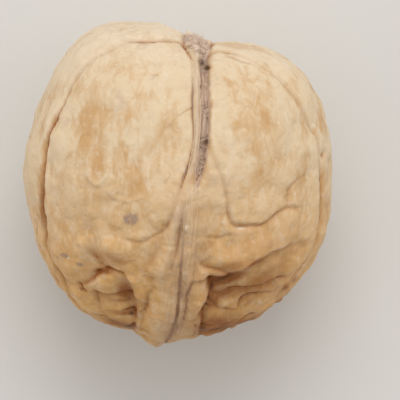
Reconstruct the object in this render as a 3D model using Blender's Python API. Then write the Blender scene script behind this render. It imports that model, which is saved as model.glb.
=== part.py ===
"""A walnut in its shell, lying on its side: one faceted solid at its real size.

+Z is up and the origin is under the middle of the nut, on the surface that it lies on. The stem end
points to +Y and the pointed tip to -Y. The seam of the two shell halves runs over the top from end to end,
and back along the underside, where a small flat spot carries the nut.

Sizes and places are in millimetres from the middle of the body, and become metres when the mesh is made.
A place on the shell is (x, y) as seen from straight above, on the top half or on the underside.
"""

import math
import random
from typing import NamedTuple

import bmesh
import bpy
import numpy as np
from mathutils import Vector, noise

MM = 0.001
NODE = "walnut"

# The body: its outline seen from above, as a radius at each step from +X towards +Y, and how deep it is.
OUTLINE_STEP_DEG = 20
OUTLINE = (
    18.3, 18.9, 19.8, 18.9, 17.2, 19.4, 20.8, 19.7, 18.6,
    18.5, 18.2, 18.9, 19.3, 18.3, 18.8, 18.6, 18.8, 18.6,
)
TOP_DEPTH = 17.3
UNDER_DEPTH = 17.4
SQUARENESS = 2.15  # 2 is an ellipse, more is fuller
STEM_END_SQUARENESS = 0.3  # added at the stem end, taken away at the tip
RESTING_DEPTH = 17.15  # the flat spot lies this far under the middle

# The mesh: fine triangles are shaped first and then thinned, so that most are left along the creases.
SPHERE_SUBDIVISIONS = 7
TRIANGLES = 11400
CLOSEST_CORNERS = 0.02  # corners around the flat spot that lie nearer than this become one
SAMPLE_SPACING = 0.25  # of the points along a fold's line
MOST_OF_OUTLINE = 0.9995  # a fold's point past the outline is drawn back to this share of it

BROAD_LUMP_SIZE, BROAD_LUMP_HEIGHT = 7.5, 0.42
SMALL_LUMP_SIZE, SMALL_LUMP_HEIGHT = 2.6, 0.16
SMOOTH_END_Y, ROUGH_END_Y = 1.0, -11.0  # lumps grow from the smooth stem half to the wrinkled tip
STEP_STEEPNESS = 1.4  # of a fold's drop from one side to the other

# Crooked bulges that meet in sharp creases, strongest at the tip.
BULGE_SIZE, BULGE_HEIGHT = 5.2, 0.55
BULGE_FLOOR = 0.35  # how far the creases between them go under the shell
BULGE_NOISE_PLACE = (3.1, 0.0, 0.0)
BEND_SIZE, BEND = 6.0, 2.0  # how the lines between them wander
BULGE_Y = (-16.0, -9.0, -4.0, 2.0)
BULGE_STRENGTH = (1.0, 0.9, 0.5, 0.25)  # at each of those places along the nut
CALM_ON_TOP = 0.5  # how much weaker they are on top, where the creases are given by hand
CALM_HEIGHTS = (-6.0, 3.0)  # where that starts and where it is whole
CALM_ON_BEAK = 0.85  # and on the beak

SHELL_COLOUR = (0.62, 0.43, 0.24, 1.0)
SHELL_ROUGHNESS = 0.6


class Fold(NamedTuple):
    """A crease, ridge or step along a line on the shell."""

    name: str
    route: tuple  # (x, y, strength) points
    width: float  # half the width of the crease
    depth: float  # how deep it goes, or below zero how high a ridge stands
    drop: float = 0.0  # how much lower the shell lies to the right of the line than to its left
    reach: float = 2.5  # how far from the line that drop fades
    flatness: float = 2.0  # 2 is a rounded crease, 6 a channel with a flat floor
    under: bool = False


class Swell(NamedTuple):
    """A rounded rise, or below zero a hollow, in the shell."""

    name: str
    x: float
    y: float
    height: float
    along: float
    across: float
    turn_deg: float = 0.0  # of the along direction, from +X towards +Y
    under: bool = False


SEAM_ON_TOP = (
    (2.3, 17.6, 0.0), (2.6, 15.0, 0.0), (2.8, 12.0, 0.0), (2.85, 8.5, 0.0), (2.7, 5.5, 0.0),
    (2.3, 3.0, 0.0), (1.6, 0.5, 0.0), (1.3, -2.5, 0.9), (1.2, -6.0, 1.0), (0.9, -9.5, 1.0),
    (0.6, -12.5, 1.0), (0.3, -15.0, 1.0), (-0.5, -17.2, 1.0), (-1.8, -19.0, 1.0),
)
SEAM_UNDER = (
    (-1.8, -19.0, 0.4), (-1.9, -17.0, 0.7), (-1.6, -13.5, 0.8), (-1.0, -9.5, 0.55), (-0.3, -5.0, 0.15),
    (0.2, 0.0, 0.0), (0.7, 5.0, 0.15), (1.1, 9.5, 0.55), (1.6, 13.5, 0.8), (2.1, 16.5, 1.0),
    (2.3, 17.6, 1.0),
)
SEAM_CHANNEL = (
    (3.0, 15.2, 0.7), (3.15, 13.0, 1.0), (3.2, 10.0, 1.0), (3.2, 7.0, 1.0), (3.1, 4.5, 1.0),
    (2.85, 2.6, 0.9), (2.6, 1.2, 0.7), (2.35, 0.0, 0.3),
)
SEAM_LINE = (
    (0.75, -5.8, 0.3), (0.55, -8.4, 0.7), (0.45, -10.2, 0.9), (0.45, -11.7, 1.0), (0.2, -13.4, 1.0),
    (-0.05, -15.2, 1.0), (-0.35, -16.7, 1.0), (-1.2, -18.1, 0.8), (-1.7, -19.0, 0.3),
)

SEAM = (
    Fold("seam_ridge_on_top", SEAM_ON_TOP, 1.7, -0.45),
    Fold("seam_ridge_under", SEAM_UNDER, 1.7, -0.75, under=True),
    Fold("seam_groove_under", SEAM_UNDER, 0.35, 0.5, under=True),
    Fold("seam_channel", SEAM_CHANNEL, 0.55, 0.6, flatness=5.0),
    Fold("channel_left_lip", tuple((x - 2.3, y, k) for x, y, k in SEAM_CHANNEL), 1.1, -0.15),
    Fold("channel_right_lip", tuple((x + 1.5, y, k) for x, y, k in SEAM_CHANNEL), 1.0, -0.25),
    Fold("seam_line", SEAM_LINE, 0.32, 0.3),
    Fold("right_strand_edge", ((2.6, -4.5, 0.2), (2.1, -8.5, 0.5), (1.75, -11.4, 0.8), (1.2, -12.8, 0.9),
         (0.95, -14.4, 1.0), (0.6, -15.8, 0.8), (0.1, -17.2, 0.4)), 0.35, 0.4),
    Fold("left_fold_beside_seam", ((0.3, -0.6, 0.2), (0.0, -3.2, 0.8), (-0.4, -5.7, 1.0), (-0.8, -7.4, 1.0),
         (-1.5, -9.6, 0.9), (-2.1, -11.8, 0.6), (-2.4, -13.0, 0.2)), 0.5, -0.55),
    Fold("gutter_beside_left_fold", ((0.75, -2.6, 0.3), (0.45, -5.0, 1.0), (0.05, -7.5, 0.9),
         (-0.6, -9.7, 0.4)), 0.35, 0.36),
)

STEM_END = (
    Swell("stem_scar_hollow", 2.4, 17.5, -1.7, 3.6, 2.4, 0.0),
    Swell("stem_scar_plug", 2.4, 15.8, 0.75, 2.8, 1.25, 90.0),
    Fold("scar_left_edge", ((0.6, 17.8, 0.8), (0.85, 16.8, 1.0), (0.75, 15.8, 1.0), (1.2, 15.0, 1.0),
         (1.75, 14.0, 0.5)), 0.4, 0.5),
    Fold("scar_right_edge", ((4.4, 17.0, 0.8), (4.1, 16.1, 1.0), (3.7, 14.9, 1.0), (3.75, 14.0, 0.5)), 0.4,
         0.45),
    Fold("behind_the_scar_left", ((0.9, 18.0, 1.0), (-0.4, 18.5, 0.6), (-2.0, 18.8, 0.0)), 0.5, 0.5),
    Fold("scar_to_left_groove", ((1.3, 15.4, 1.0), (-0.1, 16.1, 1.0), (-3.0, 16.2, 0.6),
         (-6.0, 16.2, 0.6)), 0.38, 0.34, drop=-0.15, reach=1.4),
    Fold("scar_to_right_groove", ((3.8, 14.6, 0.9), (5.2, 14.8, 0.8), (7.8, 14.2, 0.4), (10.0, 13.0, 0.25)),
         0.42, 0.4, drop=0.15, reach=1.6),
    Fold("right_shoulder_notch", ((3.2, 16.3, 1.0), (4.6, 17.1, 0.6), (6.5, 17.4, 0.1)), 0.7, 0.5),
)

BEAK = (
    Swell("beak_left_half", -2.3, -16.3, 0.45, 3.4, 1.9, 80.0),
    Fold("beak_roll", ((-0.7, -10.6, 0.2), (-1.0, -12.2, 0.7), (-1.6, -14.0, 1.0), (-2.05, -15.8, 1.0),
         (-2.35, -17.4, 1.0), (-2.7, -19.0, 0.7)), 1.35, -0.6),
    Fold("beak_roll_under", ((-2.7, -19.0, 0.7), (-2.5, -18.0, 0.4), (-2.2, -16.8, 0.0)), 1.35, -0.6,
         under=True),
    Swell("beak_left_flank", -4.3, -13.0, 0.35, 3.0, 1.3, 100.0),
    Swell("beak_right_half", 2.4, -13.5, 0.55, 2.6, 1.2, 85.0),
    Swell("beak_right_toe", 1.5, -17.0, 0.25, 1.3, 1.3),
    Fold("beak_left_edge", ((-6.8, -10.5, 0.4), (-5.9, -11.2, 0.6), (-5.4, -12.3, 0.5), (-5.25, -13.4, 0.9),
         (-5.0, -14.5, 0.35), (-5.0, -15.5, 0.9), (-5.0, -16.4, 0.4), (-5.3, -17.2, 0.9), (-5.8, -18.2, 0.5)),
         0.5, 0.6, drop=0.7),
    Fold("beak_right_edge", ((2.4, -18.3, 0.6), (2.75, -17.0, 0.9), (2.9, -16.2, 0.7), (2.8, -15.4, 0.7),
         (3.35, -14.4, 1.0), (3.95, -12.9, 0.9), (3.9, -11.8, 1.0), (3.7, -11.2, 0.6)), 0.48, 0.66, drop=0.75),
    Fold("beak_left_crease", ((-2.6, -12.2, 0.4), (-3.3, -13.0, 0.9), (-3.45, -14.2, 1.0), (-3.9, -15.4, 0.8),
         (-4.1, -16.8, 0.4)), 0.5, 0.3),
    Fold("beak_toe_crease", ((2.0, -16.6, 1.0), (1.8, -17.6, 0.8)), 0.35, 0.35),
    Fold("beak_lower_right_crease", ((0.9, -15.5, 0.4), (1.9, -15.75, 0.8), (2.8, -15.5, 1.0)), 0.4, 0.3),
)

LEFT_HALF = (
    Fold("left_cheek_groove", ((-3.0, 16.2, 0.3), (-5.6, 16.1, 0.35), (-7.6, 14.9, 0.35), (-9.8, 13.4, 0.4),
         (-11.9, 11.0, 0.5), (-13.2, 8.4, 0.7), (-14.1, 6.2, 1.0), (-14.8, 4.4, 1.1), (-15.3, 2.0, 0.9),
         (-15.6, 0.0, 0.9), (-15.9, -2.4, 1.1), (-15.8, -4.8, 1.0), (-15.6, -7.6, 0.7), (-14.8, -9.6, 0.6),
         (-13.8, -11.5, 0.6), (-12.6, -13.6, 0.5), (-11.4, -15.2, 0.3), (-9.5, -16.8, 0.2)), 0.4, 0.5,
         drop=-0.3, reach=1.8),
    Fold("left_lobe_lower_step", ((-11.4, -12.3, 0.4), (-10.1, -11.6, 0.7), (-9.2, -10.8, 0.9),
         (-8.3, -10.4, 1.0), (-7.3, -10.3, 0.8), (-6.5, -10.6, 0.5)), 0.45, 0.52, drop=-0.9),
    Swell("lower_left_lump", -8.6, -12.3, 0.12, 2.2, 0.9, 18.0),
    Swell("hollow_beside_beak", -6.2, -12.0, -0.45, 1.0, 1.3),
    Fold("left_lobe_vein", ((0.3, -1.0, 0.5), (-0.2, -2.8, 0.8), (-0.7, -4.4, 0.8), (-1.6, -5.7, 0.8),
         (-2.7, -6.3, 0.8), (-3.8, -6.9, 0.9), (-4.9, -6.8, 0.7), (-5.8, -6.5, 0.3)), 0.45, 0.28),
    Fold("left_lobe_loop", ((-3.3, -3.6, 0.4), (-3.0, -4.7, 0.7), (-2.2, -5.6, 0.6)), 0.45, 0.22),
    Fold("left_roll_edge", ((-10.5, -7.3, 0.3), (-10.1, -8.2, 0.7), (-9.6, -9.1, 1.0), (-9.1, -9.7, 0.8)),
         0.45, 0.3, drop=-0.5, reach=1.5),
    Fold("lower_left_pit", ((-11.4, -12.3, 0.8), (-11.0, -12.8, 0.8)), 0.4, 0.35),
    Fold("lower_left_crease", ((-10.0, -13.3, 0.4), (-8.4, -13.7, 0.8), (-7.0, -13.6, 1.0),
         (-5.7, -13.6, 1.1)), 0.5, 0.36, drop=0.25, reach=1.5),
    Fold("lower_left_fork", ((-9.8, -13.3, 0.8), (-9.5, -14.3, 0.7), (-9.2, -15.4, 0.3)), 0.45, 0.3),
    Fold("lowest_left_crease", ((-8.4, -15.5, 0.3), (-6.9, -15.5, 0.7), (-5.4, -15.4, 1.2)), 0.42, 0.4),
    Fold("tip_left_crease", ((-9.5, -16.4, 0.3), (-7.6, -17.0, 0.7), (-5.6, -17.2, 1.1)), 0.5, 0.4),
    Fold("left_low_crease", ((-14.8, -8.3, 0.5), (-13.9, -8.8, 0.7), (-12.4, -9.2, 0.5),
         (-11.0, -9.7, 0.4)), 0.45, 0.18),
    Swell("lower_left_hollow", -8.6, -13.6, -0.75, 3.4, 2.6, 20.0),
    Swell("left_lobe_fullness", -8.0, 3.0, 0.35, 9.0, 6.0, 75.0),
    Swell("left_square_dimple", -4.9, 0.9, -0.25, 2.6, 2.3, 90.0),
    Swell("left_long_dimple", -8.7, 1.2, -0.2, 1.7, 0.8, 70.0),
    Swell("left_upper_dimple", -10.8, 5.6, -0.16, 2.0, 1.4, 60.0),
    Swell("left_bulge_over_step", -8.0, -7.6, 0.35, 2.6, 2.0, -30.0),
)

RIGHT_HALF = (
    Fold("right_strip_crease", ((3.6, 3.9, 0.4), (4.3, 2.0, 0.6), (5.1, 0.2, 0.6), (5.6, -1.6, 0.8),
         (5.9, -3.6, 0.9), (6.5, -5.0, 1.0), (8.2, -5.1, 1.0), (9.9, -4.9, 0.9), (11.6, -3.6, 0.9),
         (12.8, -3.1, 0.9), (13.9, -3.1, 0.6)), 0.42, 0.3, drop=0.25, reach=1.4),
    Fold("right_side_branch", ((12.7, -2.7, 0.8), (12.9, -1.0, 0.9), (13.4, -0.3, 0.8), (14.4, 0.4, 0.6),
         (15.4, 0.7, 0.3)), 0.42, 0.25),
    Fold("right_strip_foot", ((3.7, -6.5, 0.6), (4.7, -6.6, 0.8), (6.1, -6.1, 0.7), (7.7, -5.8, 0.3)), 0.4,
         0.22),
    Fold("right_lobe_upper_fold", ((2.5, -9.0, 0.7), (3.1, -9.8, 0.9), (4.6, -10.0, 0.9),
         (5.8, -10.3, 0.8)), 0.4, 0.28),
    Fold("right_lobe_lower_step", ((2.9, -11.3, 0.5), (3.9, -11.2, 0.9), (5.3, -11.1, 1.0),
         (6.4, -10.3, 1.0), (7.5, -9.9, 1.0), (9.2, -8.9, 0.9), (10.8, -8.1, 0.7), (12.9, -7.5, 0.4)), 0.42,
         0.74, drop=1.2, reach=2.6),
    Fold("lower_right_crease", ((5.6, -13.6, 0.5), (6.4, -13.2, 0.9), (8.0, -12.75, 1.0), (9.7, -12.2, 1.0),
         (11.2, -11.5, 0.8), (12.8, -11.1, 0.6), (13.6, -10.6, 0.4)), 0.42, 0.38, drop=0.4, reach=1.4),
    Fold("lower_right_loop", ((3.4, -14.3, 1.0), (4.2, -14.6, 0.6), (5.0, -15.2, 0.5), (6.1, -15.3, 0.5),
         (7.0, -15.1, 0.6), (7.5, -14.3, 0.8), (8.0, -13.7, 1.0), (9.0, -13.3, 1.0), (10.1, -12.9, 0.8),
         (11.1, -12.8, 0.4)), 0.42, 0.4, drop=0.3, reach=1.3),
    Fold("lowest_right_crease", ((2.8, -16.9, 1.0), (4.4, -17.1, 0.9), (5.6, -16.9, 0.7), (7.0, -16.3, 0.5),
         (8.6, -15.6, 0.3)), 0.5, 0.5),
    Fold("right_cheek_groove", ((10.0, 13.0, 0.3), (12.2, 11.4, 0.5), (13.9, 9.4, 0.6), (15.2, 7.2, 0.6),
         (16.3, 5.0, 0.5), (16.7, 2.6, 0.7), (16.9, 0.2, 0.9), (16.9, -2.0, 0.9), (16.8, -4.6, 0.7),
         (16.2, -7.0, 0.5), (14.7, -10.2, 0.4), (13.2, -12.1, 0.5), (12.1, -13.4, 0.4), (11.6, -14.9, 0.2)),
         0.5, 0.38, drop=0.2, reach=1.5),
    Fold("right_cheek_ridge", ((14.9, 6.0, 0.4), (15.9, 4.8, 0.8), (16.3, 1.8, 0.8), (16.35, -0.6, 1.0),
         (16.3, -3.6, 0.9), (15.6, -7.0, 0.7), (14.6, -9.8, 0.4)), 0.5, -0.14),
    Swell("lower_right_hollow", 6.2, -13.6, -0.8, 3.2, 2.6, 15.0),
    Swell("hollow_under_right_lobe", 5.2, -11.8, -0.65, 2.0, 0.8, 12.0),
    Swell("lump_in_right_hollow", 5.3, -12.9, 0.3, 0.9, 0.6),
    Swell("roll_in_right_hollow", 5.9, -14.4, 0.25, 1.5, 0.55, 5.0),
    Swell("right_lobe_fullness", 9.0, 4.5, 0.3, 8.5, 5.0, 100.0),
    Swell("right_fold_roll", 8.2, -7.3, 0.3, 3.8, 1.5, 22.0),
    Swell("slope_over_right_hollow", 5.6, -9.7, -0.25, 2.0, 0.8, 15.0),
    Swell("right_side_dimple", 17.0, 3.2, -0.35, 0.6, 0.6),
    Swell("right_low_dimple", 10.6, -5.8, -0.18, 1.6, 1.0, 20.0),
    Swell("strip_dimple", 5.0, -4.4, -0.15, 1.2, 0.7, 80.0),
)

UNDERSIDE = (
    Fold("under_left_groove", ((-0.2, 18.2, 0.1), (-2.4, 17.7, 0.5), (-4.4, 15.6, 0.9), (-8.4, 13.2, 0.6),
         (-9.8, 9.4, 0.9), (-11.9, 5.6, 0.7), (-10.9, 1.2, 0.8), (-11.6, -3.0, 0.8), (-9.9, -7.4, 0.9),
         (-9.0, -11.0, 1.0), (-6.2, -14.6, 0.8), (-4.0, -17.0, 0.4)), 0.6, 0.45, drop=0.35, reach=1.8,
         under=True),
    Fold("under_right_groove", ((4.8, 17.6, 0.1), (6.4, 15.8, 0.5), (9.9, 14.0, 0.9), (10.4, 10.4, 0.6),
         (12.9, 6.4, 0.9), (12.0, 2.0, 0.7), (12.6, -2.6, 0.8), (10.4, -7.6, 1.0), (8.9, -11.8, 0.9),
         (5.4, -14.4, 0.8), (3.6, -16.6, 0.5)), 0.6, 0.45, drop=-0.35, reach=1.8, under=True),
    Fold("under_left_step", ((-3.2, -8.6, 0.5), (-5.4, -10.2, 1.0), (-7.8, -9.4, 0.9), (-9.8, -10.6, 0.6)),
         0.5, 0.5, drop=-0.7, under=True),
    Fold("under_right_step", ((2.2, -9.8, 0.5), (4.6, -11.2, 1.0), (7.4, -9.8, 0.9), (9.8, -10.4, 0.5)),
         0.5, 0.5, drop=0.7, under=True),
    Swell("under_left_hollow", -5.6, -13.0, -0.6, 2.8, 2.0, 140.0, under=True),
    Swell("under_right_hollow", 4.6, -13.8, -0.6, 2.8, 2.0, 40.0, under=True),
)

# Veins that wander and branch over the sides and the underside, from the stem end towards the tip.
VEIN_SEED = 11
VEIN_COUNT = 52
VEIN_STEPS = (4, 8)  # fewest and most
VEIN_STEP = 1.9
VEIN_WANDER_DEG = 40.0
VEIN_BRANCH_SHARE = 0.45  # this share of them starts on an earlier one
VEIN_WIDTHS = (0.4, 0.65)
VEIN_DEPTHS = (0.16, 0.34)
VEIN_CLEAR_TOP_Z = 7.0  # veins keep below this height, where the places above are given by hand
VEIN_CLEAR_SPOT = 5.0  # and this far from the flat spot


def between(a, b, c, d, t):
    """The smooth curve from b to c at t, with a before them and d after them."""
    return b + 0.5 * t * (c - a + t * (2 * a - 5 * b + 4 * c - d + t * (3 * b - a - 3 * c + d)))


def outline_radius(angle):
    """The outline's radius at an angle in radians, smooth through OUTLINE."""
    values = np.array(OUTLINE)
    place = np.degrees(angle) % 360 / OUTLINE_STEP_DEG
    start = np.floor(place).astype(int)
    t = place - start
    return between(*(values[(start + k) % len(values)] for k in (-1, 0, 1, 2)), t)


def squareness(angle):
    return SQUARENESS + STEM_END_SQUARENESS * np.sin(angle)


def body_radius(directions):
    """How far the plain body reaches from its middle along each unit direction."""
    x, y, z = directions.T
    angle = np.arctan2(y, x)
    power = squareness(angle)
    depth = np.where(z > 0, TOP_DEPTH, UNDER_DEPTH)
    flat = np.hypot(x, y) / outline_radius(angle)
    return (flat**power + (np.abs(z) / depth) ** power) ** (-1 / power)


def on_body(x, y, under):
    """The point of the plain body above (x, y), or below it; a place past the outline is moved onto it."""
    angle = math.atan2(y, x)
    power = squareness(angle)
    radius = float(outline_radius(angle))
    share = min(math.hypot(x, y) / radius, MOST_OF_OUTLINE)
    z = (-UNDER_DEPTH if under else TOP_DEPTH) * (1 - share**power) ** (1 / power)
    return np.array((share * radius * math.cos(angle), share * radius * math.sin(angle), z))


def projected(points):
    """The points moved along their radius onto the plain body."""
    directions = points / np.linalg.norm(points, axis=1, keepdims=True)
    return directions * body_radius(directions)[:, None]


def smooth_line(points, strengths):
    """Close points of a smooth line through the given ones on the body, and the strength at each."""
    ends = np.vstack((2 * points[0] - points[1], points, 2 * points[-1] - points[-2]))
    line, along = [], []
    for i in range(len(points) - 1):
        count = max(2, math.ceil(np.linalg.norm(points[i + 1] - points[i]) / SAMPLE_SPACING))
        for t in np.arange(count) / count:
            line.append(between(*ends[i : i + 4], t))
            along.append(i + t)
    line.append(points[-1])
    along.append(len(points) - 1)
    return projected(np.array(line)), np.interp(along, np.arange(len(points)), strengths)


def crease_relief(places, line, strength, fold):
    """How far one fold moves each place outwards."""
    furthest = 3 * max(fold.width, fold.reach if fold.drop else 0)
    middle = line.mean(axis=0)
    radius = np.linalg.norm(line - middle, axis=1).max() + furthest
    near = np.flatnonzero(np.linalg.norm(places - middle, axis=1) < radius)
    relief = np.zeros(len(places))
    tangent = np.gradient(line, axis=0)
    to_right = np.cross(tangent, line)
    to_right /= np.linalg.norm(to_right, axis=1, keepdims=True)
    offset = places[near, None, :] - line[None, :, :]
    distances = np.linalg.norm(offset, axis=2)
    nearest = distances.argmin(axis=1)
    rows = np.arange(len(near))
    distance = distances[rows, nearest]
    right = (offset[rows, nearest] * to_right[nearest]).sum(axis=1)
    groove = -fold.depth * np.exp(-((distance / fold.width) ** fold.flatness))
    step = np.tanh(STEP_STEEPNESS * right / fold.width) * np.exp(-((distance / fold.reach) ** 2))
    relief[near] = strength[nearest] * (groove - 0.5 * fold.drop * step)
    return relief


def swell_relief(places, swell):
    """How far one swell moves each place outwards."""
    middle = on_body(swell.x, swell.y, swell.under)
    normal = middle / np.linalg.norm(middle)
    turn = math.radians(swell.turn_deg)
    seen = np.array((math.cos(turn), math.sin(turn), 0.0))
    along = seen - normal * seen.dot(normal)
    along /= np.linalg.norm(along)
    offset = places - middle
    u, v = offset @ along, offset @ np.cross(normal, along)
    w = offset @ normal / (2 * max(swell.along, swell.across))
    return swell.height * np.exp(-((u / swell.along) ** 2) - (v / swell.across) ** 2 - w**2)


def wandering_points(draw, start):
    """Points of one vein, which sets out from start towards the tip and turns a little at each step."""
    points = [start]
    heading = np.array((draw.uniform(-0.7, 0.7), -1.0, draw.uniform(-0.7, 0.7)))
    for _ in range(draw.randint(*VEIN_STEPS)):
        normal = points[-1] / np.linalg.norm(points[-1])
        heading = heading - normal * heading.dot(normal)
        heading /= np.linalg.norm(heading)
        turn = math.radians(draw.uniform(-VEIN_WANDER_DEG, VEIN_WANDER_DEG))
        heading = heading * math.cos(turn) + np.cross(normal, heading) * math.sin(turn)
        points.append(projected((points[-1] + VEIN_STEP * heading)[None, :])[0])
    return np.array(points)


def veins():
    """Seeded wandering folds for the sides and the underside, as (line, strength, fold)."""
    draw = random.Random(VEIN_SEED)
    found = []
    while len(found) < VEIN_COUNT:
        start = np.array([draw.gauss(0, 1) for _ in range(3)])
        start = projected(start[None, :])[0]
        branching = draw.random() < VEIN_BRANCH_SHARE
        if found and branching:
            start = draw.choice(draw.choice(found)[0])
        points = wandering_points(draw, start)
        fold = Fold("vein", (), draw.uniform(*VEIN_WIDTHS), draw.uniform(*VEIN_DEPTHS))
        to_spot = np.linalg.norm(points - np.array((0.0, 0.0, -UNDER_DEPTH)), axis=1).min()
        if points[:, 2].max() > VEIN_CLEAR_TOP_Z or to_spot < VEIN_CLEAR_SPOT:
            continue
        strength = roughness_along(points[:, 1]) ** 0.5 * (1 - beak_share(points))
        strength[-1] *= 0.1
        if not branching:
            strength[0] *= 0.1
        found.append((*smooth_line(points, strength), fold))
    return found


def lumps(places, size, height, roughness):
    """Smooth seedless noise, as a height for each place."""
    values = np.array([noise.fractal(Vector(place / size), 1.0, 2.0, 2) for place in places])
    return height * roughness * values


def smooth_share(values, low, high):
    """A smooth share from 0 at low to 1 at high."""
    share = np.clip((values - low) / (high - low), 0, 1)
    return share * share * (3 - 2 * share)


def roughness_along(y):
    """1 at the smooth stem half, growing to 2 at the wrinkled tip."""
    return 1 + smooth_share(-y, -SMOOTH_END_Y, -ROUGH_END_Y)


def beak_share(places):
    """1 on the beak at the tip, 0 away from it."""
    x, y, z = places.T
    return np.exp(-(((x + 1) / 4) ** 2)) * smooth_share(-y, 12, 16) * smooth_share(z, -9, -3)


def bulges(places):
    """Rounded bulges that meet in crooked creases, as a height for each place."""
    values = np.empty(len(places))
    for row, place in enumerate(places):
        at = Vector(place)
        at += noise.noise_vector(at / BEND_SIZE) * BEND
        values[row] = noise.noise(at / BULGE_SIZE + Vector(BULGE_NOISE_PLACE))
    strength = np.interp(places[:, 1], BULGE_Y, BULGE_STRENGTH)
    strength *= 1 - CALM_ON_TOP * smooth_share(places[:, 2], *CALM_HEIGHTS)
    strength *= 1 - CALM_ON_BEAK * beak_share(places)
    return BULGE_HEIGHT * strength * (2 * np.abs(values) - BULGE_FLOOR)


def shell_points(directions):
    """The finished shell's points, in millimetres from the middle of the body."""
    places = directions * body_radius(directions)[:, None]
    relief = lumps(places, BROAD_LUMP_SIZE, BROAD_LUMP_HEIGHT, 1.0)
    relief += lumps(places, SMALL_LUMP_SIZE, SMALL_LUMP_HEIGHT, roughness_along(places[:, 1]))
    relief += bulges(places)
    for form in (*SEAM, *STEM_END, *BEAK, *LEFT_HALF, *RIGHT_HALF, *UNDERSIDE):
        if isinstance(form, Swell):
            relief += swell_relief(places, form)
            continue
        points = np.array([on_body(x, y, form.under) for x, y, _ in form.route])
        line, strength = smooth_line(points, [k for _, _, k in form.route])
        relief += crease_relief(places, line, strength, form)
    for line, strength, fold in veins():
        relief += crease_relief(places, line, strength, fold)
    return places + directions * relief[:, None]


def clear_scene():
    for old in list(bpy.data.objects):
        bpy.data.objects.remove(old)


def shell_material():
    material = bpy.data.materials.new("shell")
    material.use_nodes = True
    surface = material.node_tree.nodes["Principled BSDF"]
    surface.inputs["Base Color"].default_value = SHELL_COLOUR
    surface.inputs["Roughness"].default_value = SHELL_ROUGHNESS
    surface.inputs["Metallic"].default_value = 0.0
    return material


def fine_shell():
    """The shell with all its fine triangles, before the flat spot is cut."""
    mesh = bpy.data.meshes.new("fine_shell")
    sphere = bmesh.new()
    bmesh.ops.create_icosphere(sphere, subdivisions=SPHERE_SUBDIVISIONS, radius=1.0)
    directions = np.array([vertex.co.normalized() for vertex in sphere.verts])
    for vertex, point in zip(sphere.verts, shell_points(directions)):
        vertex.co = point * MM
    sphere.to_mesh(mesh)
    sphere.free()
    return bpy.data.objects.new("fine_shell", mesh)


def thinned(fine, collection):
    """A new mesh of TRIANGLES triangles, the most of them where the shell bends most."""
    collection.objects.link(fine)
    thinning = fine.modifiers.new("thin_out_smooth_areas", "DECIMATE")
    thinning.ratio = TRIANGLES / len(fine.data.polygons)
    evaluated = fine.evaluated_get(bpy.context.evaluated_depsgraph_get())
    mesh = bpy.data.meshes.new_from_object(evaluated)
    bpy.data.objects.remove(fine)
    return mesh


def cut_flat_spot(shell):
    """Cut the shell flat at the resting depth and close the cut with one flat face."""
    everything = [*shell.verts, *shell.edges, *shell.faces]
    plane = Vector((0.0, 0.0, -RESTING_DEPTH * MM))
    up = Vector((0.0, 0.0, 1.0))
    bmesh.ops.bisect_plane(shell, geom=everything, dist=0.0, plane_co=plane, plane_no=up, clear_inner=True)
    rim = [edge for edge in shell.edges if edge.is_boundary]
    for vertex in {vertex for edge in rim for vertex in edge.verts}:
        vertex.co.z = plane.z
    bmesh.ops.remove_doubles(shell, verts=shell.verts, dist=CLOSEST_CORNERS * MM)
    bmesh.ops.holes_fill(shell, edges=[edge for edge in shell.edges if edge.is_boundary], sides=0)
    bmesh.ops.triangulate(shell, faces=shell.faces)


def stand_up(shell):
    """Move the shell so that its box is centred over the origin and its flat spot lies at height 0."""
    corners = np.array([vertex.co for vertex in shell.verts])
    low, high = corners.min(axis=0), corners.max(axis=0)
    middle = Vector(((low[0] + high[0]) / 2, (low[1] + high[1]) / 2, low[2]))
    for vertex in shell.verts:
        vertex.co -= middle


def make_walnut(collection):
    mesh = thinned(fine_shell(), collection)
    mesh.name = NODE
    shell = bmesh.new()
    shell.from_mesh(mesh)
    cut_flat_spot(shell)
    stand_up(shell)
    shell.to_mesh(mesh)
    shell.free()
    mesh.shade_smooth()
    mesh.materials.append(shell_material())
    walnut = bpy.data.objects.new(NODE, mesh)
    collection.objects.link(walnut)


def main():
    clear_scene()
    collection = bpy.data.collections.new("walnut")
    bpy.context.scene.collection.children.link(collection)
    make_walnut(collection)


main()
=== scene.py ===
"""A walnut in its shell, lying on its side and seen from straight above.

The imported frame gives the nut's box and body. This script models its surface again with fine triangles, from
the same forms as the CAD, and adds what is too fine for a solid: the wrinkles, the pits, the fibres in the
seam and in the stem scar, and the colours.

Forms are in millimetres from the middle of the body, with +Y towards the stem end, -Y towards the tip and the
seam running over the top. A place on the shell is (x, y) as seen from straight above, on the top half or on
the underside. Meshes are in metres, standing on height 0 as the frame does.
"""

import logging
import math
import random
from dataclasses import dataclass
from enum import Enum

import bmesh
import bpy
import numpy as np
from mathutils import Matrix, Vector, noise


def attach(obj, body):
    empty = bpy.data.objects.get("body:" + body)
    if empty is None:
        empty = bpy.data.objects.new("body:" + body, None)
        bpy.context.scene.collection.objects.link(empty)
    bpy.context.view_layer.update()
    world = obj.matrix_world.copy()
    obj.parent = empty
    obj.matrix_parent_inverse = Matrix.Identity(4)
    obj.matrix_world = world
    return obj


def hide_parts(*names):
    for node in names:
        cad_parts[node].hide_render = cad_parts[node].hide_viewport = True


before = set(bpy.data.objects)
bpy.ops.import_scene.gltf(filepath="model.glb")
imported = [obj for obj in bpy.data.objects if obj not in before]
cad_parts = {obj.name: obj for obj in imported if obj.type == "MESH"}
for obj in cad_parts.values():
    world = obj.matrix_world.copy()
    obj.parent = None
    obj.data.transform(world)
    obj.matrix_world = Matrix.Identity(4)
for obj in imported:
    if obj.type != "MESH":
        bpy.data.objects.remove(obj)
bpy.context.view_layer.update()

LOG = logging.getLogger("walnut")
MM = 0.001
ROOT = "root"
PHOTO_PIXELS = 400
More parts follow.
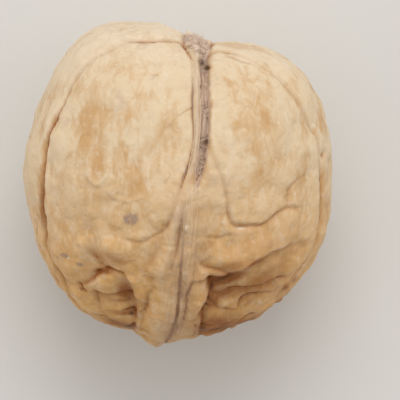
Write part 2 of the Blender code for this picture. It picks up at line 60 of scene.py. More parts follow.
PIXEL_SIZE = 0.12  # mm on the nut for each pixel of the photograph
NUT_PIXEL = (178, 182)  # the middle of the nut in the photograph

Colour = tuple[float, float, float]
Route = tuple[tuple[float, float, float], ...]
Value = float | np.ndarray


class PatchTone(Enum):
    """What a patch on the shell looks like: its stains and wear, or painted shade. The value is the mesh
    attribute that holds it.
    """

    HONEY = "honey"
    BONE = "bone"
    PURPLE = "purple"
    FLAKE = "flake"
    BARK = "bark"
    DARK = "dark"


class FibreKind(Enum):
    """The look of a bundle's fibres. The value is the finish's name."""

    PALE = "pale_fibre"
    GREY = "grey_fibre"
    TUFT = "tuft_fibre"


@dataclass(frozen=True)
class Fold:
    """A crease, ridge or step along a line on the shell, as in the CAD."""

    name: str
    route: Route
    width: float
    depth: float
    drop: float = 0.0
    reach: float = 2.5
    flatness: float = 2.0
    under: bool = False
    # How much painted crease shade, partly the line's own darker colour, goes along it.
    shade: float = 0.45


@dataclass(frozen=True)
class Swell:
    """A rounded rise, or below zero a hollow, in the shell, as in the CAD."""

    name: str
    x: float
    y: float
    height: float
    along: float
    across: float
    turn_deg: float = 0.0
    under: bool = False


@dataclass(frozen=True)
class Wrinkle:
    """Crooked bulges all over the shell. Middle and stem end are their strengths there, against 1 at the tip.

    Sizes are in millimetres. Bend is how crooked they are, and shade how much painted shade darkens the
    creases between them.
    """

    size: float
    height: float
    bend_size: float
    bend: float
    seed: float
    middle: float
    stem_end: float
    shade: float


@dataclass(frozen=True)
class Patch:
    """A place on the shell that is discoloured, worn or darkened as painted shade."""

    tint: PatchTone
    x: float
    y: float
    along: float
    across: float
    turn_deg: float = 0.0
    amount: float = 1.0


# The body: its outline seen from above, as a radius at each step from +X towards +Y, and how deep it is.
OUTLINE_STEP_DEG = 20
OUTLINE = (
    18.3, 18.9, 19.8, 18.9, 17.2, 19.4, 20.8, 19.7, 18.6,
    18.5, 18.2, 18.9, 19.3, 18.3, 18.8, 18.6, 18.8, 18.6,
)
TOP_DEPTH = 17.3
UNDER_DEPTH = 17.4
SQUARENESS = 2.15  # 2 is an ellipse, more is fuller
STEM_END_SQUARENESS = 0.3  # added at the stem end, taken away at the tip
RESTING_DEPTH = 17.15  # the flat spot lies this far under the middle

SAMPLE_SPACING = 0.25  # of the points along a fold's line
MOST_OF_OUTLINE = 0.9995  # a fold's point past the outline is drawn back to this share of it

BROAD_LUMP_SIZE, BROAD_LUMP_HEIGHT = 7.5, 0.42
SMALL_LUMP_SIZE, SMALL_LUMP_HEIGHT = 2.6, 0.16
SMOOTH_END_Y, ROUGH_END_Y = 1.0, -11.0  # lumps grow from the smooth stem half to the wrinkled tip
CUBE_DIVISIONS = 7
TOP_FINENESS = 0.18
CALM_ON_TOP = 0.5  # how much weaker the wrinkles are on top, where the creases are listed
CALM_HEIGHTS = (-6.0, 3.0)  # where that starts and where it is whole
CALM_ON_BEAK = 0.85  # and on the beak
NOISE_SEED = 7  # the bends of the wrinkles follow the clock without it
WRINKLE_FLOOR = 0.35  # how far the creases of the wrinkles go under the shell
WRINKLE_CREASE = 0.07  # how wide those creases are, as a share of the noise
WRINKLE_STRENGTH_Y = (-16.0, -9.0, -4.0, 2.0)  # from the tip, where each strength of the wrinkles holds
WRINKLE_STRENGTHS_AT_TIP = (1.0, 0.9)
BEAK_X, BEAK_WIDTH = -1.0, 4.0
BEAK_START = (12.0, 16.0)  # towards the tip, where it starts and where it is whole
BEAK_HEIGHTS = (-9.0, -3.0)  # and upwards
STAIN_HEIGHTS = (-5.0, 1.0)  # patches are seen from above, and fade out on the sides between these heights
CHUNKS = 12  # places are measured in this many parts, to save memory
SHARP_SHARE, SHARP_WIDTH = 0.55, 0.45  # of a crease's depth in its sharp floor, against its whole width
STEP_STEEPNESS = 1.4
SHADE_WIDTH = 0.65  # the shade of a crease against its width
NEAR_SMOOTHING, WIDE_SMOOTHING = 14, 220  # rounds of averaging
# Hollows and basins are darkened as painted shade, crests lightened as a painted highlight.
HOLLOW_DEPTHS, CREST_HEIGHTS, BASIN_DEPTH = (0.04, 0.3), (0.02, 0.14), 0.35  # against that average
SCAR_SPOT = (2.2, 15.8, 3.4, 1.6, 90.0)  # x, y, the radii along and across, and the turn
FUZZY_CHANNEL_SPOT = (3.0, 13.5, 2.2, 0.9, 90.0)
SEAM_FAR = 4.0
SEAM_UNDER_START = 100.0
SEAM_BAND_WIDTH = 1.9
CHANNEL_STAIN_WIDTH, CHANNEL_HALO_WIDTH = 0.52, 1.5
LEFT_STRAND_OFFSET, LEFT_STRAND_WIDTH, LEFT_STRAND_STAIN = 0.9, 0.42, 0.4
RIB_WIDTH, RIB_LENGTH, RIB_HEIGHT = 0.4, 3.2, 0.12
STRAND_BENDS_PER_METRE = 260.0
FUZZ_PER_MM2, FUZZ_LENGTH, FUZZ_THICKNESS = 24.0, 0.7, 0.02

SEAM_ON_TOP = (
    (2.3, 17.6, 0.0), (2.6, 15.0, 0.0), (2.8, 12.0, 0.0), (2.85, 8.5, 0.0), (2.7, 5.5, 0.0),
    (2.3, 3.0, 0.0), (1.6, 0.5, 0.0), (1.3, -2.5, 0.9), (1.2, -6.0, 1.0), (0.9, -9.5, 1.0),
    (0.6, -12.5, 1.0), (0.3, -15.0, 1.0), (-0.5, -17.2, 1.0), (-1.8, -19.0, 1.0),
)
SEAM_UNDER = (
    (-1.8, -19.0, 0.4), (-1.9, -17.0, 0.7), (-1.6, -13.5, 0.8), (-1.0, -9.5, 0.55), (-0.3, -5.0, 0.15),
    (0.2, 0.0, 0.0), (0.7, 5.0, 0.15), (1.1, 9.5, 0.55), (1.6, 13.5, 0.8), (2.1, 16.5, 1.0),
    (2.3, 17.6, 1.0),
)
SEAM_CHANNEL = (
    (3.0, 15.2, 0.7), (3.15, 13.0, 1.0), (3.2, 10.0, 1.0), (3.2, 7.0, 1.0), (3.1, 4.5, 1.0),
    (2.85, 2.6, 0.9), (2.6, 1.2, 0.7), (2.35, 0.0, 0.3),
)
SEAM_LINE = (
    (0.75, -5.8, 0.3), (0.55, -8.4, 0.7), (0.45, -10.2, 0.9), (0.45, -11.7, 1.0), (0.2, -13.4, 1.0),
    (-0.05, -15.2, 1.0), (-0.35, -16.7, 1.0), (-1.2, -18.1, 0.8), (-1.7, -19.0, 0.3),
)

SEAM = (
    Fold("seam_ridge_on_top", SEAM_ON_TOP, 1.7, -0.45),
    Fold("seam_ridge_under", SEAM_UNDER, 1.7, -0.75, under=True),
    Fold("seam_groove_under", SEAM_UNDER, 0.35, 0.5, under=True),
    Fold("seam_channel", SEAM_CHANNEL, 0.55, 0.6, flatness=5.0),
    Fold("channel_left_lip", tuple((x - 2.3, y, k) for x, y, k in SEAM_CHANNEL), 1.1, -0.15),
    Fold("channel_right_lip", tuple((x + 1.5, y, k) for x, y, k in SEAM_CHANNEL), 1.0, -0.25),
    Fold("seam_line", SEAM_LINE, 0.32, 0.3),
    Fold("right_strand_edge", ((2.6, -4.5, 0.2), (2.1, -8.5, 0.5), (1.75, -11.4, 0.8), (1.2, -12.8, 0.9),
         (0.95, -14.4, 1.0), (0.6, -15.8, 0.8), (0.1, -17.2, 0.4)), 0.35, 0.4),
    Fold("left_fold_beside_seam", ((0.3, -0.6, 0.2), (0.0, -3.2, 0.8), (-0.4, -5.7, 1.0), (-0.8, -7.4, 1.0),
         (-1.5, -9.6, 0.9), (-2.1, -11.8, 0.6), (-2.4, -13.0, 0.2)), 0.5, -0.55),
    Fold("gutter_beside_left_fold", ((0.75, -2.6, 0.3), (0.45, -5.0, 1.0), (0.05, -7.5, 0.9),
         (-0.6, -9.7, 0.4)), 0.35, 0.36),
)

STEM_END = (
    Swell("stem_scar_hollow", 2.4, 17.5, -1.7, 3.6, 2.4, 0.0),
    Swell("stem_scar_plug", 2.4, 15.8, 0.75, 2.8, 1.25, 90.0),
    Fold("scar_left_edge", ((0.6, 17.8, 0.8), (0.85, 16.8, 1.0), (0.75, 15.8, 1.0), (1.2, 15.0, 1.0),
         (1.75, 14.0, 0.5)), 0.4, 0.5, shade=0.25),
    Fold("scar_right_edge", ((4.4, 17.0, 0.8), (4.1, 16.1, 1.0), (3.7, 14.9, 1.0), (3.75, 14.0, 0.5)), 0.4,
         0.45, shade=0.5),
    Fold("behind_the_scar_left", ((0.9, 18.0, 1.0), (-0.4, 18.5, 0.6), (-2.0, 18.8, 0.0)), 0.5, 0.5),
    Fold("scar_to_left_groove", ((1.3, 15.4, 1.0), (-0.1, 16.1, 1.0), (-3.0, 16.2, 0.6),
         (-6.0, 16.2, 0.6)), 0.38, 0.34, drop=-0.15, reach=1.4),
    Fold("scar_to_right_groove", ((3.8, 14.6, 0.9), (5.2, 14.8, 0.8), (7.8, 14.2, 0.4), (10.0, 13.0, 0.25)),
         0.42, 0.4, drop=0.15, reach=1.6),
    Fold("right_shoulder_notch", ((3.2, 16.3, 1.0), (4.6, 17.1, 0.6), (6.5, 17.4, 0.1)), 0.7, 0.5),
)

BEAK = (
    Swell("beak_left_half", -2.3, -16.3, 0.45, 3.4, 1.9, 80.0),
    Fold("beak_roll", ((-0.7, -10.6, 0.2), (-1.0, -12.2, 0.7), (-1.6, -14.0, 1.0), (-2.05, -15.8, 1.0),
         (-2.35, -17.4, 1.0), (-2.7, -19.0, 0.7)), 1.35, -0.6),
    Fold("beak_roll_under", ((-2.7, -19.0, 0.7), (-2.5, -18.0, 0.4), (-2.2, -16.8, 0.0)), 1.35, -0.6,
         under=True),
    Swell("beak_left_flank", -4.3, -13.0, 0.35, 3.0, 1.3, 100.0),
    Swell("beak_right_half", 2.4, -13.5, 0.55, 2.6, 1.2, 85.0),
    Swell("beak_right_toe", 1.5, -17.0, 0.25, 1.3, 1.3),
    Fold("beak_left_edge", ((-6.8, -10.5, 0.4), (-5.9, -11.2, 0.6), (-5.4, -12.3, 0.5), (-5.25, -13.4, 0.9),
         (-5.0, -14.5, 0.35), (-5.0, -15.5, 0.9), (-5.0, -16.4, 0.4), (-5.3, -17.2, 0.9), (-5.8, -18.2, 0.5)),
         0.5, 0.6, drop=0.7, shade=0.6),
    Fold("beak_right_edge", ((2.4, -18.3, 0.6), (2.75, -17.0, 0.9), (2.9, -16.2, 0.7), (2.8, -15.4, 0.7),
         (3.35, -14.4, 1.0), (3.95, -12.9, 0.9), (3.9, -11.8, 1.0), (3.7, -11.2, 0.6)), 0.48, 0.66, drop=0.75,
         shade=0.8),
    Fold("beak_left_crease", ((-2.6, -12.2, 0.4), (-3.3, -13.0, 0.9), (-3.45, -14.2, 1.0), (-3.9, -15.4, 0.8),
         (-4.1, -16.8, 0.4)), 0.5, 0.3, shade=0.3),
    Fold("beak_toe_crease", ((2.0, -16.6, 1.0), (1.8, -17.6, 0.8)), 0.35, 0.35),
    Fold("beak_lower_right_crease", ((0.9, -15.5, 0.4), (1.9, -15.75, 0.8), (2.8, -15.5, 1.0)), 0.4, 0.3),
)

LEFT_HALF = (
    Fold("left_cheek_groove", ((-3.0, 16.2, 0.3), (-5.6, 16.1, 0.35), (-7.6, 14.9, 0.35), (-9.8, 13.4, 0.4),
         (-11.9, 11.0, 0.5), (-13.2, 8.4, 0.7), (-14.1, 6.2, 1.0), (-14.8, 4.4, 1.1), (-15.3, 2.0, 0.9),
         (-15.6, 0.0, 0.9), (-15.9, -2.4, 1.1), (-15.8, -4.8, 1.0), (-15.6, -7.6, 0.7), (-14.8, -9.6, 0.6),
         (-13.8, -11.5, 0.6), (-12.6, -13.6, 0.5), (-11.4, -15.2, 0.3), (-9.5, -16.8, 0.2)), 0.4, 0.5,
         drop=-0.3, reach=1.8, shade=0.55),
    Fold("left_lobe_lower_step", ((-11.4, -12.3, 0.4), (-10.1, -11.6, 0.7), (-9.2, -10.8, 0.9),
         (-8.3, -10.4, 1.0), (-7.3, -10.3, 0.8), (-6.5, -10.6, 0.5)), 0.45, 0.52, drop=-0.9, shade=0.7),
    Swell("lower_left_lump", -8.6, -12.3, 0.12, 2.2, 0.9, 18.0),
    Swell("hollow_beside_beak", -6.2, -12.0, -0.45, 1.0, 1.3),
    Fold("left_lobe_vein", ((0.3, -1.0, 0.5), (-0.2, -2.8, 0.8), (-0.7, -4.4, 0.8), (-1.6, -5.7, 0.8),
         (-2.7, -6.3, 0.8), (-3.8, -6.9, 0.9), (-4.9, -6.8, 0.7), (-5.8, -6.5, 0.3)), 0.45, 0.28),
    Fold("left_lobe_loop", ((-3.3, -3.6, 0.4), (-3.0, -4.7, 0.7), (-2.2, -5.6, 0.6)), 0.45, 0.22),
    Fold("left_roll_edge", ((-10.5, -7.3, 0.3), (-10.1, -8.2, 0.7), (-9.6, -9.1, 1.0), (-9.1, -9.7, 0.8)),
         0.45, 0.3, drop=-0.5, reach=1.5),
    Fold("lower_left_pit", ((-11.4, -12.3, 0.8), (-11.0, -12.8, 0.8)), 0.4, 0.35, shade=0.7),
    Fold("lower_left_crease", ((-10.0, -13.3, 0.4), (-8.4, -13.7, 0.8), (-7.0, -13.6, 1.0),
         (-5.7, -13.6, 1.1)), 0.5, 0.36, drop=0.25, reach=1.5),
    Fold("lower_left_fork", ((-9.8, -13.3, 0.8), (-9.5, -14.3, 0.7), (-9.2, -15.4, 0.3)), 0.45, 0.3),
    Fold("lowest_left_crease", ((-8.4, -15.5, 0.3), (-6.9, -15.5, 0.7), (-5.4, -15.4, 1.2)), 0.42, 0.4,
         shade=0.6),
    Fold("tip_left_crease", ((-9.5, -16.4, 0.3), (-7.6, -17.0, 0.7), (-5.6, -17.2, 1.1)), 0.5, 0.4,
         shade=0.7),
    Fold("left_low_crease", ((-14.8, -8.3, 0.5), (-13.9, -8.8, 0.7), (-12.4, -9.2, 0.5),
         (-11.0, -9.7, 0.4)), 0.45, 0.18),
    Swell("lower_left_hollow", -8.6, -13.6, -0.75, 3.4, 2.6, 20.0),
    Swell("left_lobe_fullness", -8.0, 3.0, 0.35, 9.0, 6.0, 75.0),
    Swell("left_square_dimple", -4.9, 0.9, -0.25, 2.6, 2.3, 90.0),
    Swell("left_long_dimple", -8.7, 1.2, -0.2, 1.7, 0.8, 70.0),
    Swell("left_upper_dimple", -10.8, 5.6, -0.16, 2.0, 1.4, 60.0),
    Swell("left_bulge_over_step", -8.0, -7.6, 0.35, 2.6, 2.0, -30.0),
)

RIGHT_HALF = (
    Fold("right_strip_crease", ((3.6, 3.9, 0.4), (4.3, 2.0, 0.6), (5.1, 0.2, 0.6), (5.6, -1.6, 0.8),
         (5.9, -3.6, 0.9), (6.5, -5.0, 1.0), (8.2, -5.1, 1.0), (9.9, -4.9, 0.9), (11.6, -3.6, 0.9),
         (12.8, -3.1, 0.9), (13.9, -3.1, 0.6)), 0.42, 0.3, drop=0.25, reach=1.4),
    Fold("right_side_branch", ((12.7, -2.7, 0.8), (12.9, -1.0, 0.9), (13.4, -0.3, 0.8), (14.4, 0.4, 0.6),
         (15.4, 0.7, 0.3)), 0.42, 0.25),
    Fold("right_strip_foot", ((3.7, -6.5, 0.6), (4.7, -6.6, 0.8), (6.1, -6.1, 0.7), (7.7, -5.8, 0.3)), 0.4,
         0.22),
    Fold("right_lobe_upper_fold", ((2.5, -9.0, 0.7), (3.1, -9.8, 0.9), (4.6, -10.0, 0.9),
         (5.8, -10.3, 0.8)), 0.4, 0.28),
    Fold("right_lobe_lower_step", ((2.9, -11.3, 0.5), (3.9, -11.2, 0.9), (5.3, -11.1, 1.0),
         (6.4, -10.3, 1.0), (7.5, -9.9, 1.0), (9.2, -8.9, 0.9), (10.8, -8.1, 0.7), (12.9, -7.5, 0.4)), 0.42,
         0.74, drop=1.2, reach=2.6, shade=1.0),
    Fold("lower_right_crease", ((5.6, -13.6, 0.5), (6.4, -13.2, 0.9), (8.0, -12.75, 1.0), (9.7, -12.2, 1.0),
         (11.2, -11.5, 0.8), (12.8, -11.1, 0.6), (13.6, -10.6, 0.4)), 0.42, 0.38, drop=0.4, reach=1.4,
         shade=0.6),
    Fold("lower_right_loop", ((3.4, -14.3, 1.0), (4.2, -14.6, 0.6), (5.0, -15.2, 0.5), (6.1, -15.3, 0.5),
         (7.0, -15.1, 0.6), (7.5, -14.3, 0.8), (8.0, -13.7, 1.0), (9.0, -13.3, 1.0), (10.1, -12.9, 0.8),
         (11.1, -12.8, 0.4)), 0.42, 0.4, drop=0.3, reach=1.3, shade=0.5),
    Fold("lowest_right_crease", ((2.8, -16.9, 1.0), (4.4, -17.1, 0.9), (5.6, -16.9, 0.7), (7.0, -16.3, 0.5),
         (8.6, -15.6, 0.3)), 0.5, 0.5, shade=0.8),
    Fold("right_cheek_groove", ((10.0, 13.0, 0.3), (12.2, 11.4, 0.5), (13.9, 9.4, 0.6), (15.2, 7.2, 0.6),
         (16.3, 5.0, 0.5), (16.7, 2.6, 0.7), (16.9, 0.2, 0.9), (16.9, -2.0, 0.9), (16.8, -4.6, 0.7),
         (16.2, -7.0, 0.5), (14.7, -10.2, 0.4), (13.2, -12.1, 0.5), (12.1, -13.4, 0.4), (11.6, -14.9, 0.2)),
         0.5, 0.38, drop=0.2, reach=1.5),
    Fold("right_cheek_ridge", ((14.9, 6.0, 0.4), (15.9, 4.8, 0.8), (16.3, 1.8, 0.8), (16.35, -0.6, 1.0),
         (16.3, -3.6, 0.9), (15.6, -7.0, 0.7), (14.6, -9.8, 0.4)), 0.5, -0.14),
    Swell("lower_right_hollow", 6.2, -13.6, -0.8, 3.2, 2.6, 15.0),
    Swell("hollow_under_right_lobe", 5.2, -11.8, -0.65, 2.0, 0.8, 12.0),
    Swell("lump_in_right_hollow", 5.3, -12.9, 0.3, 0.9, 0.6),
    Swell("roll_in_right_hollow", 5.9, -14.4, 0.25, 1.5, 0.55, 5.0),
    Swell("right_lobe_fullness", 9.0, 4.5, 0.3, 8.5, 5.0, 100.0),
    Swell("right_fold_roll", 8.2, -7.3, 0.3, 3.8, 1.5, 22.0),
    Swell("slope_over_right_hollow", 5.6, -9.7, -0.25, 2.0, 0.8, 15.0),
    Swell("right_side_dimple", 17.0, 3.2, -0.35, 0.6, 0.6),
    Swell("right_low_dimple", 10.6, -5.8, -0.18, 1.6, 1.0, 20.0),
    Swell("strip_dimple", 5.0, -4.4, -0.15, 1.2, 0.7, 80.0),
)

UNDERSIDE = (
    Fold("under_left_groove", ((-0.2, 18.2, 0.1), (-2.4, 17.7, 0.5), (-4.4, 15.6, 0.9), (-8.4, 13.2, 0.6),
         (-9.8, 9.4, 0.9), (-11.9, 5.6, 0.7), (-10.9, 1.2, 0.8), (-11.6, -3.0, 0.8), (-9.9, -7.4, 0.9),
         (-9.0, -11.0, 1.0), (-6.2, -14.6, 0.8), (-4.0, -17.0, 0.4)), 0.6, 0.45, drop=0.35, reach=1.8,
         under=True),
    Fold("under_right_groove", ((4.8, 17.6, 0.1), (6.4, 15.8, 0.5), (9.9, 14.0, 0.9), (10.4, 10.4, 0.6),
         (12.9, 6.4, 0.9), (12.0, 2.0, 0.7), (12.6, -2.6, 0.8), (10.4, -7.6, 1.0), (8.9, -11.8, 0.9),
         (5.4, -14.4, 0.8), (3.6, -16.6, 0.5)), 0.6, 0.45, drop=-0.35, reach=1.8, under=True),
    Fold("under_left_step", ((-3.2, -8.6, 0.5), (-5.4, -10.2, 1.0), (-7.8, -9.4, 0.9), (-9.8, -10.6, 0.6)),
         0.5, 0.5, drop=-0.7, under=True),
    Fold("under_right_step", ((2.2, -9.8, 0.5), (4.6, -11.2, 1.0), (7.4, -9.8, 0.9), (9.8, -10.4, 0.5)),
         0.5, 0.5, drop=0.7, under=True),
    Swell("under_left_hollow", -5.6, -13.0, -0.6, 2.8, 2.0, 140.0, under=True),
    Swell("under_right_hollow", 4.6, -13.8, -0.6, 2.8, 2.0, 40.0, under=True),
)

# Veins that wander and branch over the sides and the underside, from the stem end towards the tip.
VEIN_SEED = 11
VEIN_COUNT = 52
VEIN_STEPS = (4, 8)  # fewest and most
VEIN_STEP = 1.9
VEIN_WANDER_DEG = 40.0
VEIN_BRANCH_SHARE = 0.45  # this share of them starts on an earlier one
VEIN_WIDTHS = (0.4, 0.65)
VEIN_DEPTHS = (0.16, 0.34)
VEIN_CLEAR_TOP_Z = 7.0  # veins keep below this height, where the places above are listed
VEIN_CLEAR_SPOT = 5.0  # and this far from the flat spot
VEIN_END_STRENGTH = 0.1  # veins fade to this where they start and end
VEIN_SLANT = 0.7  # at most this much aside for each step towards the tip


# What follows is too fine for the CAD. Shade is how much painted crease shade, partly the line's own darker
# colour, goes on a line beyond its own shadow.
SEAM_DETAILS = (
    Fold("left_strand", ((2.1, 15.4, 0.4), (2.3, 13.6, 1.0), (2.3, 10.0, 1.0), (2.25, 6.6, 1.0),
         (2.1, 4.2, 1.0), (1.75, 2.4, 0.8), (1.35, 0.4, 0.6), (1.15, -2.0, 0.3)), 0.3, -0.14, shade=0.0),
    Fold("right_strand_gutter", ((3.15, 14.4, 1.0), (3.2, 11.0, 1.0), (3.2, 7.0, 1.0), (3.1, 4.4, 1.0),
         (2.9, 2.6, 1.0), (2.6, 1.2, 0.9), (2.35, 0.2, 0.5)), 0.3, 0.12, shade=0.1),
    Fold("left_gutter", ((1.6, 14.6, 0.3), (1.75, 11.5, 0.4), (1.75, 8.0, 0.9), (1.95, 5.0, 1.0),
         (1.55, 2.6, 1.0), (1.1, 0.9, 1.0), (0.6, -0.4, 0.9), (0.35, -1.4, 0.3)), 0.22, 0.28, shade=0.7),
    Fold("right_gutter", ((3.55, 8.8, 0.5), (3.6, 6.2, 0.8), (3.45, 4.5, 1.0), (3.0, 2.4, 1.0),
         (2.75, 1.0, 0.9), (2.4, 0.3, 0.8)), 0.22, 0.36, shade=0.8),
    Fold("pale_strand", ((1.5, -3.0, 0.3), (1.3, -6.0, 0.7), (1.1, -9.6, 1.0), (1.1, -11.4, 1.0),
         (0.85, -12.6, 0.6)), 0.26, -0.18, shade=0.0),
    Fold("dark_seam_line", ((0.6, -7.4, 0.2), (0.5, -9.6, 0.6), (0.35, -11.0, 0.8), (0.15, -13.2, 1.0),
         (-0.15, -15.2, 1.1), (-0.5, -16.6, 1.2), (-0.95, -17.6, 1.3), (-1.5, -18.8, 1.4)), 0.2, 0.24,
         shade=0.9),
    Fold("second_dark_line", ((0.5, -15.4, 0.4), (0.1, -16.3, 1.0), (-0.1, -17.0, 0.9), (-0.5, -17.9, 0.3)),
         0.16, 0.16, shade=0.8),
    Swell("channel_hole", 2.95, 13.7, -1.0, 0.5, 0.4, 110.0),
    Swell("channel_hole_foot", 3.5, 13.05, -0.8, 0.34, 0.32),
    Swell("channel_pin_hole", 2.75, 10.7, -0.45, 0.26, 0.17, 90.0),
    Swell("scar_pin_hole", 3.42, 14.0, -0.4, 0.2, 0.16),
    Swell("channel_lower_hole", 3.4, 4.4, -0.5, 0.34, 0.22, 100.0),
    Swell("scar_fibre_mound", 2.1, 15.4, 0.5, 1.1, 0.9, 90.0),
    Swell("scar_right_lump", 3.8, 16.2, 0.55, 0.8, 0.6, 20.0),
    Swell("scar_left_lump", 1.3, 17.2, 0.6, 0.7, 0.5, 60.0),
)
LEFT_DETAILS = (
    Fold("crack", ((1.75, 8.2, 1.0), (1.15, 7.8, 1.0), (0.2, 7.1, 0.5), (-1.4, 5.6, 0.2)), 0.12, 0.1,
         shade=0.7),
    Fold("fine_top_crease", ((-6.0, 16.5, 0.3), (-3.6, 16.2, 1.0), (-0.6, 16.05, 1.0), (0.6, 15.9, 0.6)),
         0.17, 0.2, drop=-0.15, reach=0.8, shade=0.6),
    Fold("outer_top_line", ((-7.2, 18.7, 0.6), (-8.6, 18.2, 1.0), (-10.4, 17.3, 1.0), (-11.6, 16.3, 0.4)),
         0.25, 0.16, shade=0.45),
    Fold("rim_lines", ((-2.0, 17.6, 0.3), (-5.0, 18.0, 1.0), (-8.0, 17.4, 1.0), (-10.6, 15.6, 0.5)),
         0.28, 0.12, shade=0.2),
    Fold("cheek_ridge", ((-14.0, 5.4, 0.3), (-14.8, 3.0, 1.0), (-15.1, 0.0, 1.0), (-15.1, -3.4, 1.0),
         (-14.9, -6.0, 0.4)), 0.4, -0.2, shade=0.0),
    Fold("long_dimple_rim", ((-9.7, 2.4, 0.6), (-9.8, 0.8, 1.0), (-9.0, -0.4, 1.0), (-7.8, 0.4, 1.0),
         (-7.6, 1.6, 0.4)), 0.26, -0.18, shade=0.0),
    Fold("small_upright_ridge", ((-5.1, 8.0, 0.8), (-5.3, 6.6, 1.0), (-5.4, 5.4, 0.4)), 0.22, -0.14,
         shade=0.0),
    Fold("horseshoe_ridge", ((-5.6, 9.2, 0.8), (-6.6, 8.4, 1.0), (-7.1, 9.4, 0.7), (-6.2, 10.2, 0.5)),
         0.24, -0.13, shade=0.0),
    Fold("square_dimple_rim", ((-7.2, 0.4, 0.6), (-7.3, -1.6, 1.0), (-5.4, -2.2, 1.0), (-4.0, -1.9, 0.8)),
         0.24, -0.12, shade=0.0),
    Fold("pale_overhang_lip", ((-10.6, -7.3, 0.8), (-10.2, -8.4, 1.0), (-9.6, -9.3, 1.0), (-8.2, -9.9, 1.0),
         (-7.0, -10.1, 0.8)), 0.26, -0.2, shade=0.0),
    Swell("pit_under_lobe", -9.2, -10.9, -0.35, 0.5, 0.34),
    Swell("pit_by_beak", -5.6, -13.5, -0.5, 0.5, 0.36, 60.0),
    Swell("pit_by_beak_low", -5.35, -15.6, -0.5, 0.5, 0.3, 80.0),
    Swell("pit_at_tip", -5.6, -17.0, -0.4, 0.55, 0.3, 10.0),
    Swell("small_pit", -11.2, -12.6, -0.3, 0.3, 0.22),
    Swell("dot_on_beak", -3.75, -10.95, -0.2, 0.25, 0.18),
)
RIGHT_DETAILS = (
    Fold("strip_ridge", ((5.6, -2.6, 0.6), (5.3, -4.4, 1.0), (5.9, -5.8, 1.0), (7.2, -5.9, 1.0),
         (9.0, -5.6, 0.5)), 0.3, -0.16, shade=0.0),
    Fold("top_right_line", ((5.8, 14.3, 0.7), (7.2, 13.8, 1.0), (8.6, 13.4, 0.6)), 0.17, 0.14, shade=0.7),
    Fold("shoulder_lines", ((4.6, 17.0, 0.6), (8.0, 16.4, 1.0), (11.0, 14.6, 0.6)), 0.25, 0.14, shade=0.3),
    Fold("pale_ridge_over_dark", ((3.1, -10.3, 1.0), (4.4, -10.45, 1.0), (5.6, -10.7, 0.7)), 0.24, -0.1,
         shade=0.0),
    Fold("inner_fold", ((4.9, -14.0, 0.5), (5.8, -14.1, 1.0), (6.6, -13.9, 0.4)), 0.22, 0.14, shade=0.4),
    Fold("pale_right_lip", ((12.2, -8.2, 0.6), (13.6, -8.0, 1.0), (15.0, -6.4, 0.8)), 0.35, -0.16, shade=0.0),
    Swell("pit_under_right_lobe", 4.1, -12.0, -0.55, 0.45, 0.5, 60.0),
    Swell("pit_right_of_beak", 3.55, -14.2, -0.45, 0.35, 0.3),
    Swell("pit_lowest_right", 2.9, -17.0, -0.5, 0.5, 0.35),
    Swell("right_side_pin_hole", 17.1, 3.1, -0.25, 0.25, 0.2),
)
WRINKLES = (
    Wrinkle(5.2, 0.55, 6.0, 2.0, 3.1, 0.5, 0.25, 0.35),
    Wrinkle(2.6, 0.24, 3.0, 1.0, 8.4, 0.5, 0.25, 0.1),
    Wrinkle(1.3, 0.1, 1.6, 0.5, 5.7, 0.6, 0.3, 0.0),
)
